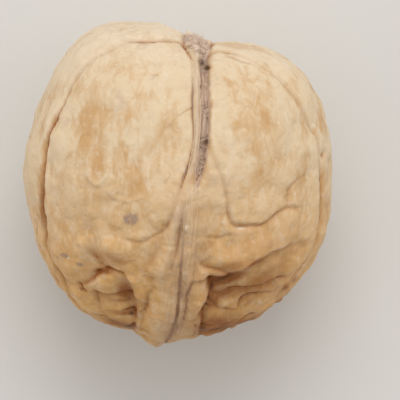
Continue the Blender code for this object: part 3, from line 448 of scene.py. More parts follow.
# Each patch: x, y, its radii along and across, how far it is turned, and how strong it is.
PATCH_TONES = {
    PatchTone.PURPLE: (
        (-5.2, -4.3, 1.0, 0.85, 0.0, 1.0), (-13.1, -8.6, 0.7, 0.3, -20.0, 0.9),
        (-11.2, -9.6, 0.6, 0.3, -10.0, 0.8), (-2.6, 11.6, 0.9, 0.5, 30.0, 0.45),
        (6.9, 9.8, 0.6, 0.5, 0.0, 0.4), (-3.4, -9.4, 0.5, 0.8, 0.0, 0.45),
        (1.82, 8.6, 5.2, 0.2, 90.0, 0.75), (1.1, 1.2, 2.0, 0.2, 65.0, 0.8),
    ),
    # Amber-yellow tone; the patches in the grooves and in the hollow under the right lobe are partly painted
    # shade.
    PatchTone.HONEY: (
        (-9.8, 4.8, 2.0, 1.7, 60.0, 0.2), (-9.1, 1.7, 1.7, 0.7, 72.0, 0.8),
        (-4.8, 1.2, 3.0, 2.6, 90.0, 0.75), (-4.2, 10.0, 1.9, 0.8, 105.0, 0.4),
        (-5.7, 6.6, 1.8, 0.7, 90.0, 0.45), (-8.7, 8.6, 1.6, 1.0, 80.0, 0.2),
        (-10.2, 10.4, 1.6, 1.0, 30.0, 0.25), (-6.0, -7.4, 3.0, 1.2, 0.0, 0.6),
        (6.6, 8.6, 2.4, 1.2, 80.0, 0.1), (8.6, 2.0, 2.6, 1.2, 75.0, 0.15),
        (5.4, -3.6, 1.8, 1.0, 90.0, 0.4), (16.6, 6.2, 1.4, 0.6, 80.0, 0.8),
        (16.9, -0.4, 2.4, 0.4, 90.0, 1.0), (-14.3, 6.4, 2.6, 0.7, 68.0, 1.0),
        (-15.6, 0.2, 3.4, 0.6, 88.0, 0.9), (5.0, -12.6, 1.6, 1.9, 0.0, 1.2),
    ),
    # Deep brown painted shade in the hollows, under the lobes' edges and on the lower rim, partly their own
    # orange-brown colour.
    PatchTone.BARK: (
        (-15.7, -2.8, 2.6, 0.3, 88.0, 0.7), (5.8, -11.1, 2.2, 0.8, 18.0, 1.4),
        (5.2, -12.6, 1.3, 1.0, 10.0, 0.8), (8.8, -9.4, 2.0, 0.3, 30.0, 1.0),
        (6.0, -9.9, 3.0, 0.8, 18.0, 0.7), (9.6, -8.2, 5.0, 3.2, 28.0, 0.24),
        (8.4, -12.5, 2.2, 0.3, 20.0, 0.8), (4.2, -13.5, 0.8, 1.2, 0.0, 1.0),
        (8.4, -14.0, 1.3, 0.3, 40.0, 0.7), (12.7, -12.5, 0.7, 0.4, 45.0, 1.0),
        (13.7, -11.6, 0.6, 0.3, 50.0, 0.9), (9.6, -11.9, 3.2, 1.5, 28.0, 0.8),
        (4.4, -17.0, 2.6, 1.3, 8.0, 1.4), (7.0, -17.0, 3.6, 0.8, 18.0, 1.1),
        (11.6, -14.9, 2.4, 0.5, 42.0, 0.9), (-8.3, -10.4, 0.9, 0.3, -5.0, 1.2),
        (-6.0, -12.6, 0.9, 1.0, 0.0, 1.0), (-6.6, -13.8, 1.4, 0.25, 0.0, 0.8),
        (-6.4, -15.4, 1.2, 0.25, 0.0, 1.1), (-6.7, -16.9, 1.9, 0.6, -8.0, 1.2),
        (-7.0, -8.9, 1.6, 0.6, -20.0, 0.6), (-11.1, -12.5, 0.35, 0.25, -40.0, 1.0),
        (-10.2, -11.6, 1.0, 0.15, 25.0, 0.8), (-1.1, -18.0, 0.3, 1.0, -20.0, 0.9),
    ),
    PatchTone.BONE: (
        (-1.0, -13.6, 4.4, 2.4, 78.0, 0.8), (-13.6, -4.8, 3.0, 1.4, 100.0, 0.5),
    ),
    PatchTone.FLAKE: (
        (-12.6, -8.9, 0.2, 0.15, 0.0, 1.0), (-6.9, 13.3, 0.2, 0.15, 0.0, 0.8),
        (1.1, -5.2, 0.6, 0.16, 82.0, 0.9), (7.3, -5.4, 0.9, 0.18, 0.0, 0.8),
    ),
    # Near-black painted shade in holes and pits, under the lobes' edges and on the lower rim.
    PatchTone.DARK: (
        (2.9, 13.65, 0.46, 0.32, 110.0, 1.1), (3.46, 13.0, 0.36, 0.32, 0.0, 1.3),
        (2.69, 10.74, 0.28, 0.18, 90.0, 0.8), (3.3, 4.5, 0.36, 0.24, 100.0, 1.0),
        (3.45, 6.9, 2.2, 0.12, 92.0, 0.55), (3.95, -12.1, 0.7, 0.24, 80.0, 0.85),
        (5.2, -11.15, 1.7, 0.2, 20.0, 0.85), (3.4, -14.2, 0.4, 0.22, -30.0, 0.85),
        (2.9, -17.2, 0.5, 0.3, 0.0, 0.8), (4.8, -17.4, 2.6, 0.25, 6.0, 0.65),
        (8.4, -16.5, 3.4, 0.25, 24.0, 0.55), (-5.33, -15.4, 0.4, 0.28, -30.0, 0.85),
        (-5.7, -17.1, 0.7, 0.35, 10.0, 0.8), (-8.3, -10.35, 0.6, 0.18, -10.0, 0.7),
        (-5.6, -13.55, 0.45, 0.28, 20.0, 0.8), (-11.1, -12.55, 0.28, 0.2, 0.0, 0.6),
    ),
}
PATCHES = tuple(Patch(tint, *row) for tint, rows in PATCH_TONES.items() for row in rows)


def placed(name: str, data: bpy.types.ID) -> bpy.types.Object:
    """A new object with the given data, in the scene."""
    piece = bpy.data.objects.new(name, data)
    bpy.context.scene.collection.objects.link(piece)
    return piece


def smooth_share(values: np.ndarray, low: float, high: float) -> np.ndarray:
    """A smooth share from 0 at low to 1 at high."""
    share = np.clip((values - low) / (high - low), 0, 1)
    return share * share * (3 - 2 * share)


def between(a: Value, b: Value, c: Value, d: Value, t: Value) -> Value:
    """The smooth curve from b to c.

    Args:
        a: The point before b.
        b: Where the curve starts.
        c: Where it ends.
        d: The point after c.
        t: How far along the curve, from 0 to 1.

    Returns:
        The value or point there.
    """
    return b + 0.5 * t * (c - a + t * (2 * a - 5 * b + 4 * c - d + t * (3 * b - a - 3 * c + d)))


@dataclass(frozen=True)
class Body:
    """The plain rounded body under all the relief, with the CAD's sizes."""

    outline: tuple[float, ...] = OUTLINE
    top_depth: float = TOP_DEPTH
    under_depth: float = UNDER_DEPTH

    def outline_radius(self, angle):
        """The outline's radius at an angle in radians."""
        values = np.array(self.outline)
        place = np.degrees(angle) % 360 / OUTLINE_STEP_DEG
        start = np.floor(place).astype(int)
        near = (values[(start + k) % len(values)] for k in (-1, 0, 1, 2))
        return between(*near, place - start)

    def squareness(self, angle):
        """The power of the body's curve at an angle in radians."""
        return SQUARENESS + STEM_END_SQUARENESS * np.sin(angle)

    def radius(self, directions: np.ndarray) -> np.ndarray:
        """How far the plain body reaches along each unit direction."""
        x, y, z = directions.T
        angle = np.arctan2(y, x)
        power = self.squareness(angle)
        depth = np.where(z > 0, self.top_depth, self.under_depth)
        flat = np.hypot(x, y) / self.outline_radius(angle)
        return (flat**power + (np.abs(z) / depth) ** power) ** (-1 / power)

    def place(self, x: float, y: float, under: bool) -> np.ndarray:
        """The point of the plain body above (x, y), or below it."""
        angle = math.atan2(y, x)
        power = self.squareness(angle)
        radius = float(self.outline_radius(angle))
        share = min(math.hypot(x, y) / radius, MOST_OF_OUTLINE)
        z = (-self.under_depth if under else self.top_depth) * (1 - share**power) ** (1 / power)
        return np.array((share * radius * math.cos(angle), share * radius * math.sin(angle), z))

    def projected(self, points: np.ndarray) -> np.ndarray:
        """The points moved along their radius onto the plain body."""
        directions = points / np.linalg.norm(points, axis=1, keepdims=True)
        return directions * self.radius(directions)[:, None]


@dataclass(frozen=True)
class Trace:
    """A fold's line on the body, as close points with a strength and a length at each."""

    points: np.ndarray
    strength: np.ndarray

    @classmethod
    def through(cls, body: Body, points: np.ndarray, strengths) -> "Trace":
        """The smooth line through the given points on the body."""
        ends = np.vstack((2 * points[0] - points[1], points, 2 * points[-1] - points[-2]))
        line, along = [], []
        for i in range(len(points) - 1):
            count = max(2, math.ceil(np.linalg.norm(points[i + 1] - points[i]) / SAMPLE_SPACING))
            for t in np.arange(count) / count:
                line.append(between(*ends[i : i + 4], t))
                along.append(i + t)
        line.append(points[-1])
        along.append(len(points) - 1)
        strength = np.interp(along, np.arange(len(points)), strengths)
        return cls(body.projected(np.array(line)), strength)

    @classmethod
    def of_route(cls, body: Body, route: Route, under: bool) -> "Trace":
        """The line through a fold's route."""
        points = np.array([body.place(x, y, under) for x, y, _ in route])
        return cls.through(body, points, [strength for _, _, strength in route])

    def lengths(self) -> np.ndarray:
        """How far along the line each of its points lies."""
        return np.concatenate(([0.0], np.cumsum(np.linalg.norm(np.diff(self.points, axis=0), axis=1))))

    def near(self, places: np.ndarray, furthest: float) -> np.ndarray:
        """The rows of the places that may lie within a distance of the line."""
        middle = self.points.mean(axis=0)
        radius = np.linalg.norm(self.points - middle, axis=1).max() + furthest
        return np.flatnonzero(np.linalg.norm(places - middle, axis=1) < radius)

    def measure(self, places: np.ndarray) -> tuple[np.ndarray, np.ndarray, np.ndarray]:
        """Measure places against the line.

        Args:
            places: Points near the line.

        Returns:
            For each place its nearest point's row, its distance from the line, and how far to the right.
        """
        tangent = np.gradient(self.points, axis=0)
        tangent /= np.linalg.norm(tangent, axis=1, keepdims=True)
        to_right = np.cross(tangent, self.points)
        to_right /= np.linalg.norm(to_right, axis=1, keepdims=True)
        squares = (self.points**2).sum(axis=1)
        nearest = np.concatenate(
            [(squares - 2 * part @ self.points.T).argmin(axis=1) for part in np.array_split(places, CHUNKS)]
        )
        offset = places - self.points[nearest]
        along = (offset * tangent[nearest]).sum(axis=1)
        offset -= tangent[nearest] * np.clip(along, -SAMPLE_SPACING, SAMPLE_SPACING)[:, None]
        right = (offset * to_right[nearest]).sum(axis=1)
        return nearest, np.linalg.norm(offset, axis=1), right


class Relief:
    """The shell's height over the plain body at every place, and what the colours need to know of it."""

    def __init__(self, body: Body, directions: np.ndarray) -> None:
        """Start from the plain body along unit directions."""
        self.body = body
        self.directions = directions
        self.places = directions * body.radius(directions)[:, None]
        self.height = np.zeros(len(directions))
        names = ("crease", *(tint.value for tint in PatchTone))
        self.masks = {name: np.zeros(len(directions)) for name in names}

    def fold(self, fold: Fold, trace: Trace | None = None) -> None:
        """Add a fold, along its own route or a ready trace."""
        trace = trace or Trace.of_route(self.body, fold.route, fold.under)
        rows = trace.near(self.places, 3 * max(fold.width, fold.reach if fold.drop else 0))
        nearest, distance, right = trace.measure(self.places[rows])
        wide = np.exp(-((distance / fold.width) ** fold.flatness))
        sharp = SHARP_SHARE if fold.depth > 0 and fold.flatness == 2 else 0.0
        profile = (1 - sharp) * wide + sharp * np.exp(-((distance / (SHARP_WIDTH * fold.width)) ** 2))
        step = np.tanh(STEP_STEEPNESS * right / fold.width) * np.exp(-((distance / fold.reach) ** 2))
        strength = trace.strength[nearest]
        self.height[rows] -= strength * (fold.depth * profile + 0.5 * fold.drop * step)
        # Painted crease shade along the line, partly the darker colour of some lines.
        shade = fold.shade * strength * np.exp(-((distance / (SHADE_WIDTH * fold.width)) ** 2))
        if fold.depth > 0:
            self.masks["crease"][rows] = np.maximum(self.masks["crease"][rows], shade)

    def spot(self, x: float, y: float, along: float, across: float, turn_deg: float, under: bool):
        """A soft spot of 1 at a place on the shell, fading over its two radii."""
        middle = self.body.place(x, y, under)
        normal = middle / np.linalg.norm(middle)
        turn = math.radians(turn_deg)
        seen = np.array((math.cos(turn), math.sin(turn), 0.0))
        ahead = seen - normal * seen.dot(normal)
        ahead /= np.linalg.norm(ahead)
        offset = self.places - middle
        u, v = offset @ ahead, offset @ np.cross(normal, ahead)
        w = offset @ normal / (2 * max(along, across))
        return np.exp(-((u / along) ** 2) - (v / across) ** 2 - w**2)

    def swell(self, swell: Swell) -> None:
        """Add a rise or a hollow."""
        spot = self.spot(swell.x, swell.y, swell.along, swell.across, swell.turn_deg, swell.under)
        self.height += swell.height * spot

    def tint(self, patches: tuple[Patch, ...]) -> None:
        """Add patches to their masks, each where the finished shell shows it from above; some masks hold
        painted shade.
        """
        points = self.points()
        upward = smooth_share(points[:, 2], *STAIN_HEIGHTS)
        for patch in patches:
            turn = math.radians(patch.turn_deg)
            ahead = np.array((math.cos(turn), math.sin(turn)))
            offset = points[:, :2] - (patch.x, patch.y)
            u, v = offset @ ahead / patch.along, offset @ (-ahead[1], ahead[0]) / patch.across
            mask = self.masks[patch.tint.value]
            np.maximum(mask, patch.amount * upward * np.exp(-(u**2) - v**2), out=mask)

    def lumps(self, size: float, height: float, roughness) -> None:
        """Add smooth seedless noise."""
        values = np.array([noise.fractal(Vector(place / size), 1.0, 2.0, 2) for place in self.places])
        self.height += height * roughness * values

    def wrinkles(self, wrinkle: "Wrinkle") -> None:
        """Add rounded bulges that meet in sharp crooked creases."""
        values = np.empty(len(self.places))
        for row, place in enumerate(self.places):
            at = Vector(place)
            at += noise.noise_vector(at / wrinkle.bend_size) * wrinkle.bend
            values[row] = noise.noise(at / wrinkle.size + Vector((wrinkle.seed, 0.0, 0.0)))
        strengths = (*WRINKLE_STRENGTHS_AT_TIP, wrinkle.middle, wrinkle.stem_end)
        strength = np.interp(self.places[:, 1], WRINKLE_STRENGTH_Y, strengths)
        strength *= 1 - CALM_ON_TOP * smooth_share(self.places[:, 2], *CALM_HEIGHTS)
        strength *= 1 - CALM_ON_BEAK * beak_share(self.places)
        self.height += wrinkle.height * strength * (np.abs(values) * 2 - WRINKLE_FLOOR)
        # Painted shade in the creases between the bulges.
        crease = wrinkle.shade * strength * np.exp(-((values / WRINKLE_CREASE) ** 2))
        self.masks["crease"] = np.maximum(self.masks["crease"], crease)

    def points(self) -> np.ndarray:
        """The shell's points, in millimetres from the middle of the body, cut flat at the resting depth."""
        points = self.places + self.directions * self.height[:, None]
        points[:, 2] = np.maximum(points[:, 2], -RESTING_DEPTH)
        return points


def roughness_along(y: np.ndarray) -> np.ndarray:
    """1 at the smooth stem half, growing to 2 at the wrinkled tip."""
    return 1 + smooth_share(-y, -SMOOTH_END_Y, -ROUGH_END_Y)


def beak_share(places: np.ndarray) -> np.ndarray:
    """1 on the beak at the tip, 0 away from it."""
    x, y, z = places.T
    near = np.exp(-(((x - BEAK_X) / BEAK_WIDTH) ** 2))
    return near * smooth_share(-y, *BEAK_START) * smooth_share(z, *BEAK_HEIGHTS)


@dataclass(frozen=True)
class Veins:
    """Seeded folds that wander over the sides and the underside, as in the CAD."""

    body: Body
    seed: int = VEIN_SEED
    count: int = VEIN_COUNT

    def wandering_points(self, draw: random.Random, start: np.ndarray) -> np.ndarray:
        """Points of one vein, which sets out from start towards the tip and turns a little at each step."""
        points = [start]
        aside = (-VEIN_SLANT, VEIN_SLANT)
        heading = np.array((draw.uniform(*aside), -1.0, draw.uniform(*aside)))
        for _ in range(draw.randint(*VEIN_STEPS)):
            normal = points[-1] / np.linalg.norm(points[-1])
            heading = heading - normal * heading.dot(normal)
            heading /= np.linalg.norm(heading)
            turn = math.radians(draw.uniform(-VEIN_WANDER_DEG, VEIN_WANDER_DEG))
            heading = heading * math.cos(turn) + np.cross(normal, heading) * math.sin(turn)
            points.append(self.body.projected((points[-1] + VEIN_STEP * heading)[None, :])[0])
        return np.array(points)

    def traces(self) -> list[tuple[Fold, Trace]]:
        """The veins, each with its line."""
        draw = random.Random(self.seed)
        found: list[tuple[Fold, Trace]] = []
        while len(found) < self.count:
            start = np.array([draw.gauss(0, 1) for _ in range(3)])
            start = self.body.projected(start[None, :])[0]
            branching = draw.random() < VEIN_BRANCH_SHARE
            if found and branching:
                start = draw.choice(draw.choice(found)[1].points)
            points = self.wandering_points(draw, start)
            fold = Fold("vein", (), draw.uniform(*VEIN_WIDTHS), draw.uniform(*VEIN_DEPTHS))
            to_spot = np.linalg.norm(points - np.array((0.0, 0.0, -UNDER_DEPTH)), axis=1).min()
            if points[:, 2].max() > VEIN_CLEAR_TOP_Z or to_spot < VEIN_CLEAR_SPOT:
                continue
            strength = roughness_along(points[:, 1]) ** 0.5 * (1 - beak_share(points))
            strength[-1] *= VEIN_END_STRENGTH
            if not branching:
                strength[0] *= VEIN_END_STRENGTH
            found.append((fold, Trace.through(self.body, points, strength)))
        return found


def math_operator(operation: str, swapped: bool = False):
    """A method for one of Python's operators, which adds a Math node, with its values swapped or not."""

    def apply(self: "Wire", other) -> "Wire":
        return self.math(operation, other, self) if swapped else self.math(operation, self, other)

    return apply


class Wire:
    """A node's output, which Python's operators turn into Math nodes."""

    def __init__(self, tree: "Tree", socket: bpy.types.NodeSocket) -> None:
        """Wrap an output socket of a tree."""
        self.tree = tree
        self.socket = socket

    def math(self, operation: str, *values) -> "Wire":
        """A Math node on the given values, or on this one alone."""
        values = values or (self,)
        return self.tree.use("ShaderNodeMath", 0, {"operation": operation}, dict(enumerate(values)))

    __add__ = __radd__ = math_operator("ADD")
    __sub__ = math_operator("SUBTRACT")
    __rsub__ = math_operator("SUBTRACT", swapped=True)
    __mul__ = __rmul__ = math_operator("MULTIPLY")
    __rtruediv__ = math_operator("DIVIDE", swapped=True)

    def share(self, low: float, high: float) -> "Wire":
        """A smooth share from 0 at low to 1 at high."""
        values = {"Value": self, 1: low, 2: high, 3: 0.0, 4: 1.0}
        return self.tree.use("ShaderNodeMapRange", 0, {"interpolation_type": "SMOOTHSTEP"}, values)

    def clamped(self) -> "Wire":
        """The value held between 0 and 1."""
        return self.tree.use("ShaderNodeClamp", 0, {}, {"Value": self})


class Tree:
    """A node tree that is written as expressions."""

    def __init__(self, nodes: bpy.types.NodeTree) -> None:
        """Wrap an empty node tree."""
        self.nodes = nodes

    def use(self, kind: str, output=0, settings: dict | None = None, values: dict | None = None) -> Wire:
        """Add a node.

        Args:
            kind: The node's type.
            output: The name or number of the output that is wanted.
            settings: The node's own settings, which are set first.
            values: A value or a wire for each input, by name or number.

        Returns:
            The output.
        """
        node = self.nodes.nodes.new(kind)
        for name, value in (settings or {}).items():
            setattr(node, name, value)
        for name, value in (values or {}).items():
            if isinstance(value, Wire):
                self.nodes.links.new(value.socket, node.inputs[name])
            else:
                node.inputs[name].default_value = value
        return Wire(self, node.outputs[output] if node.outputs else None)

    def other(self, wire: Wire, output) -> Wire:
        """Another output of the node that a wire comes from."""
        return Wire(self, wire.socket.node.outputs[output])


class SurfaceTree(Tree):
    """A material's nodes, on a piece's own coordinates and attributes."""

    def __init__(self, name: str) -> None:
        """Make the material and its empty tree."""
        self.material = bpy.data.materials.new(name)
        self.material.use_nodes = True
        self.material.node_tree.nodes.clear()
        super().__init__(self.material.node_tree)
        self.place = self.use("ShaderNodeTexCoord", "Object")

    def attribute(self, name: str) -> Wire:
        """A number that the mesh holds at each point."""
        return self.use("ShaderNodeAttribute", "Fac", {"attribute_name": name})

    def noise(self, size: float, detail=2.0, roughness=0.5, twist=0.0, at: Wire | None = None) -> Wire:
        """Noise with features of a size in millimetres, or of a size in the units of the given vector."""
        scale = 1 / (size * MM) if at is None else 1 / size
        values = {"Vector": at or self.place, "Scale": scale, "Detail": detail}
        values |= {"Roughness": roughness, "Distortion": twist}
        return self.use("ShaderNodeTexNoise", 0, {}, values)

    def height_share(self, reach: tuple[float, float]) -> Wire:
        """A smooth share that grows towards the stem end, over a reach in millimetres."""
        y = self.use("ShaderNodeSeparateXYZ", "Y", {}, {"Vector": self.place})
        return y.share(reach[0] * MM, reach[1] * MM)

    def mix(self, share, low, high) -> Wire:
        """A colour between two."""
        settings = {"data_type": "RGBA", "blend_type": "MIX", "clamp_factor": True}
        low, high = (value if isinstance(value, Wire) else linear(value) for value in (low, high))
        return self.use("ShaderNodeMix", 2, settings, {0: share, 6: low, 7: high})

    def finish(self, colour: Wire, roughness: Wire, height: Wire, depth: float) -> bpy.types.Material:
        """Close the tree with one shader.

        Args:
            colour: The base colour.
            roughness: The roughness.
            height: The height of the finest relief, from 0 to 1.
            depth: How deep that relief is, in millimetres.

        Returns:
            The material.
        """
        bump = self.use("ShaderNodeBump", 0, {}, {"Strength": 1.0, "Distance": depth * MM, "Height": height})
        values = {"Base Color": colour, "Roughness": roughness, "Normal": bump, "Specular IOR Level": 0.35}
        shader = self.use("ShaderNodeBsdfPrincipled", 0, {}, values)
        self.use("ShaderNodeOutputMaterial", 0, {}, {"Surface": shader})
        return self.material


def linear(colour: Colour) -> tuple[float, float, float, float]:
    """A screen colour from 0 to 255 as the renderer wants it."""
    shares = [value / 255 for value in colour]
    return (*(s / 12.92 if s < 0.04045 else ((s + 0.055) / 1.055) ** 2.4 for s in shares), 1.0)


@dataclass(frozen=True)
class ShellFinish:
    """Dry woody shell: cream at the stem end, amber-yellow at the tip, with brown painted shade in the creases
    and hollows.
    """

    stem_cream: Colour = (224, 200, 165)
    tip_honey: Colour = (220, 168, 98)
    amber: Colour = (201, 155, 99)
    # Paler crests and stem end, and a painted highlight on the crests.
    bone: Colour = (234, 219, 196)
    # Also the lighter painted shade in the creases.
    vein: Colour = (166, 118, 70)
    # Deep orange-brown: painted shade in the hollows and deep creases, partly their own colour.
    bark: Colour = (150, 84, 20)
    # Near-black brown for painted shade in holes, pits, under edges and on the lower rim.
    umber_shade: Colour = (70, 38, 14)
    violet: Colour = (152, 124, 112)
    chalk: Colour = (240, 230, 214)
    fibre: Colour = (208, 184, 162)
    dark_fibre: Colour = (168, 139, 119)
    tuft: Colour = (222, 202, 184)
    ridge: Colour = (204, 176, 148)
    streak: Colour = (150, 112, 80)
    # Sizes of the markings, in millimetres.
    mottle_size: float = 3.8
    blotch_size: float = 1.1
    grain_size: float = 0.42
    fleck_size: float = 0.9
    net_size: float = 5.5
    net_gap_size: float = 4.1
    cast_size: float = 2.7
    wear_size: float = 0.45
    tangle_size: float = 0.55
    bump_depth: float = 0.13
    stretch: Colour = (1.0, 0.45, 1.0)  # blotches are longer along the seam
    # Where along the nut a tone starts and where it is whole, in millimetres.
    honey_reach: tuple[float, float] = (-16.0, 7.0)
    tip_reach: tuple[float, float] = (-13.0, -5.0)
    stem_reach: tuple[float, float] = (9.0, 19.0)

    def material(self) -> bpy.types.Material:
        """Build the material."""
        tree = SurfaceTree("walnut_shell")
        values = {0: tree.place, 1: self.stretch}
        long = tree.use("ShaderNodeVectorMath", 0, {"operation": "MULTIPLY"}, values)
        mottle = tree.noise(self.mottle_size * MM, 3.0, 0.55, 0.5, long)
        blotch = tree.noise(self.blotch_size * MM, 4.0, 0.62, 0.6, long)
        grain = tree.noise(self.grain_size, 5.0, 0.6)
        honey_end, smooth_end, stem_end = (
            tree.height_share(reach) for reach in (self.honey_reach, self.tip_reach, self.stem_reach)
        )
        tip = 1.0 - smooth_end
        ground = tree.mix(1.0 - honey_end, self.stem_cream, self.tip_honey)
        ground = tree.mix(stem_end * 0.6, ground, self.bone)
        colour = self.mottled(tree, ground, mottle, blotch, tip, stem_end)
        colour = self.lined(tree, colour, blotch, tip)
        strands = self.strands(tree)
        colour = self.fibrous(tree, colour, strands)
        colour = self.stained_and_shaded(tree, colour, blotch)
        colour = tree.mix(grain.share(0.5, 0.75) * (0.2 + tip * 0.2), colour, self.amber)
        roughness = 0.56 + (grain - 0.5) * 0.25 - tree.attribute("crest") * 0.06
        height = (grain * 0.45 + blotch * 0.35) * (1.0 + tip * 1.2) + strands * tree.attribute("band") * 0.6
        return tree.finish(colour, roughness, height, self.bump_depth)

    def mottled(self, tree: SurfaceTree, ground, mottle, blotch, tip, stem_end) -> Wire:
        """Blotches on the ground colour, amber in the hollows partly as painted shade, deep brown painted
        shade in the deepest ones, and bone on the crests partly as a painted highlight.

        Args:
            tree: The material's nodes.
            ground: The colour under them.
            mottle: The wide blotches.
            blotch: The small ones.
            tip: How near the tip it is, from 0 to 1.
            stem_end: How near the stem end it is, from 0 to 1.

        Returns:
            The colour.
        """
        # Amber goes into the wide hollows partly as painted shade, as do the amber patches in hollows and
        # grooves.
        honey = (mottle - 0.5) * 3.0 + (blotch - 0.5) * 2.6 + tree.attribute("basin") * 0.9 + 0.06
        honey = (honey + tree.attribute(PatchTone.HONEY.value) * 0.95).clamped() * 0.8
        honey = honey * (1.0 - stem_end * 0.5)
        # Bone goes onto the crests as a painted highlight, partly their paler colour.
        pale = (0.5 - mottle) * 1.3 + (0.52 - blotch) * 1.8 + tree.attribute("crest") * 0.35
        pale = (pale + tree.attribute(PatchTone.BONE.value) * 0.4).clamped() * 0.6
        colour = tree.mix(pale, tree.mix(honey, ground, self.amber), self.bone)
        flecks = tree.noise(self.fleck_size, 4.0, 0.55).share(0.56, 0.74)
        colour = tree.mix(flecks * 0.3, colour, self.chalk)
        # Deep brown painted shade in the wide hollows near the tip and where the patches put it, partly their
        # own colour.
        deep = tree.attribute("basin").share(0.1, 1.0) * tip * 0.45
        deep = (deep + tree.attribute(PatchTone.BARK.value) * (0.6 + blotch * 0.8)).clamped() * 0.9
        return tree.mix(deep, colour, self.bark)

    def lined(self, tree: SurfaceTree, colour: Wire, blotch: Wire, tip: Wire) -> Wire:
        """Brown painted shade in the creases and their floors, partly the darker colour of some lines, and a
        faint net of thin brown veins.
        """
        line = (tree.noise(self.net_size, 2.0, 0.45, 0.6) - 0.5).math("ABSOLUTE")
        net = 1.0 - line.share(0.0, 0.011)
        net = net * tree.noise(self.net_gap_size, 2.0).share(0.5, 0.64) * (0.2 + tip * 0.3)
        # Painted shade in the creases and their floors, partly the darker colour of some lines, plus the net
        # of veins.
        crease = (tree.attribute("crease") * 0.85 + tree.attribute("hollow") * 0.65) * (1.0 + tip * 0.3)
        crease = (crease * (0.75 + blotch * 0.5) + net).clamped()
        return tree.mix(crease, colour, tree.mix(crease.share(0.25, 0.8), self.vein, self.bark))

    def stained_and_shaded(self, tree: SurfaceTree, colour: Wire, blotch: Wire) -> Wire:
        """Purple-grey stains, chalky flakes, and near-black brown painted shade in the pits and holes, under
        the lobes' edges and on the lower rim.
        """
        worn = tree.noise(self.wear_size, 3.0, 0.6).share(0.2, 0.5)
        purple = (tree.attribute(PatchTone.PURPLE.value) + (blotch - 0.5) * 0.9).share(0.3, 0.75) * worn * 0.75
        colour = tree.mix(purple, colour, self.violet)
        cast = tree.noise(self.cast_size, 3.0, 0.6, 0.3).share(0.58, 0.76) * 0.2
        colour = tree.mix(cast, colour, self.violet)
        colour = tree.mix(tree.attribute(PatchTone.FLAKE.value).share(0.3, 0.8) * 0.8, colour, self.chalk)
        # Painted shade in the holes, pits, under the lobes' edges and on the lower rim.
        dark = tree.attribute(PatchTone.DARK.value) * (0.7 + blotch * 0.6)
        return tree.mix(dark.share(0.1, 1.05) * 0.9, colour, self.umber_shade)

    def strands(self, tree: SurfaceTree) -> Wire:
        """Lengthwise fibres beside the seam, from 0 to 1."""
        side, along = tree.attribute("seam_side"), tree.attribute("seam_along")
        at = tree.use("ShaderNodeCombineXYZ", 0, {}, {0: side * 4.0, 1: along * 0.4})
        return tree.noise(1.0, 3.0, 0.55, 0.3, at)

    def fibrous(self, tree: SurfaceTree, colour: Wire, strands: Wire) -> Wire:
        """Grey-brown fibre in the channel and the scar, and streaks on the seam's ridge."""
        fibre = tree.mix(strands.share(0.35, 0.62), self.dark_fibre, self.fibre)
        channel = tree.attribute("channel")
        colour = tree.mix(channel.share(0.3, 0.8) * 0.65 + channel * 1.1, colour, fibre)
        tangle = tree.noise(self.tangle_size, 3.0, 0.6, 0.8).share(0.4, 0.58)
        tuft = tree.mix(tangle, self.dark_fibre, self.tuft)
        colour = tree.mix(tree.attribute("scar").share(0.2, 0.7) * 0.9, colour, tuft)
        colour = tree.mix(tree.attribute("band") * 0.4, colour, self.ridge)
        return tree.mix(tree.attribute("band") * strands.share(0.56, 0.4) * 0.28, colour, self.streak)


@dataclass(frozen=True)
class FibreFinish:
    """Dry plant fibre, each strand in its own shade of grey-brown."""

    kind: FibreKind
    pale: Colour
    dark: Colour

    def material(self) -> bpy.types.Material:
        """Build the material."""
        tree = SurfaceTree(self.kind.value)
        speckle = tree.noise(0.5, 3.0, 0.6)
        share = (tree.attribute("shade") * 0.75 + speckle * 0.5 - 0.1).clamped()
        colour = tree.mix(share, self.dark, self.pale)
        return tree.finish(colour, 0.62 + (speckle - 0.5) * 0.2, speckle, 0.03)


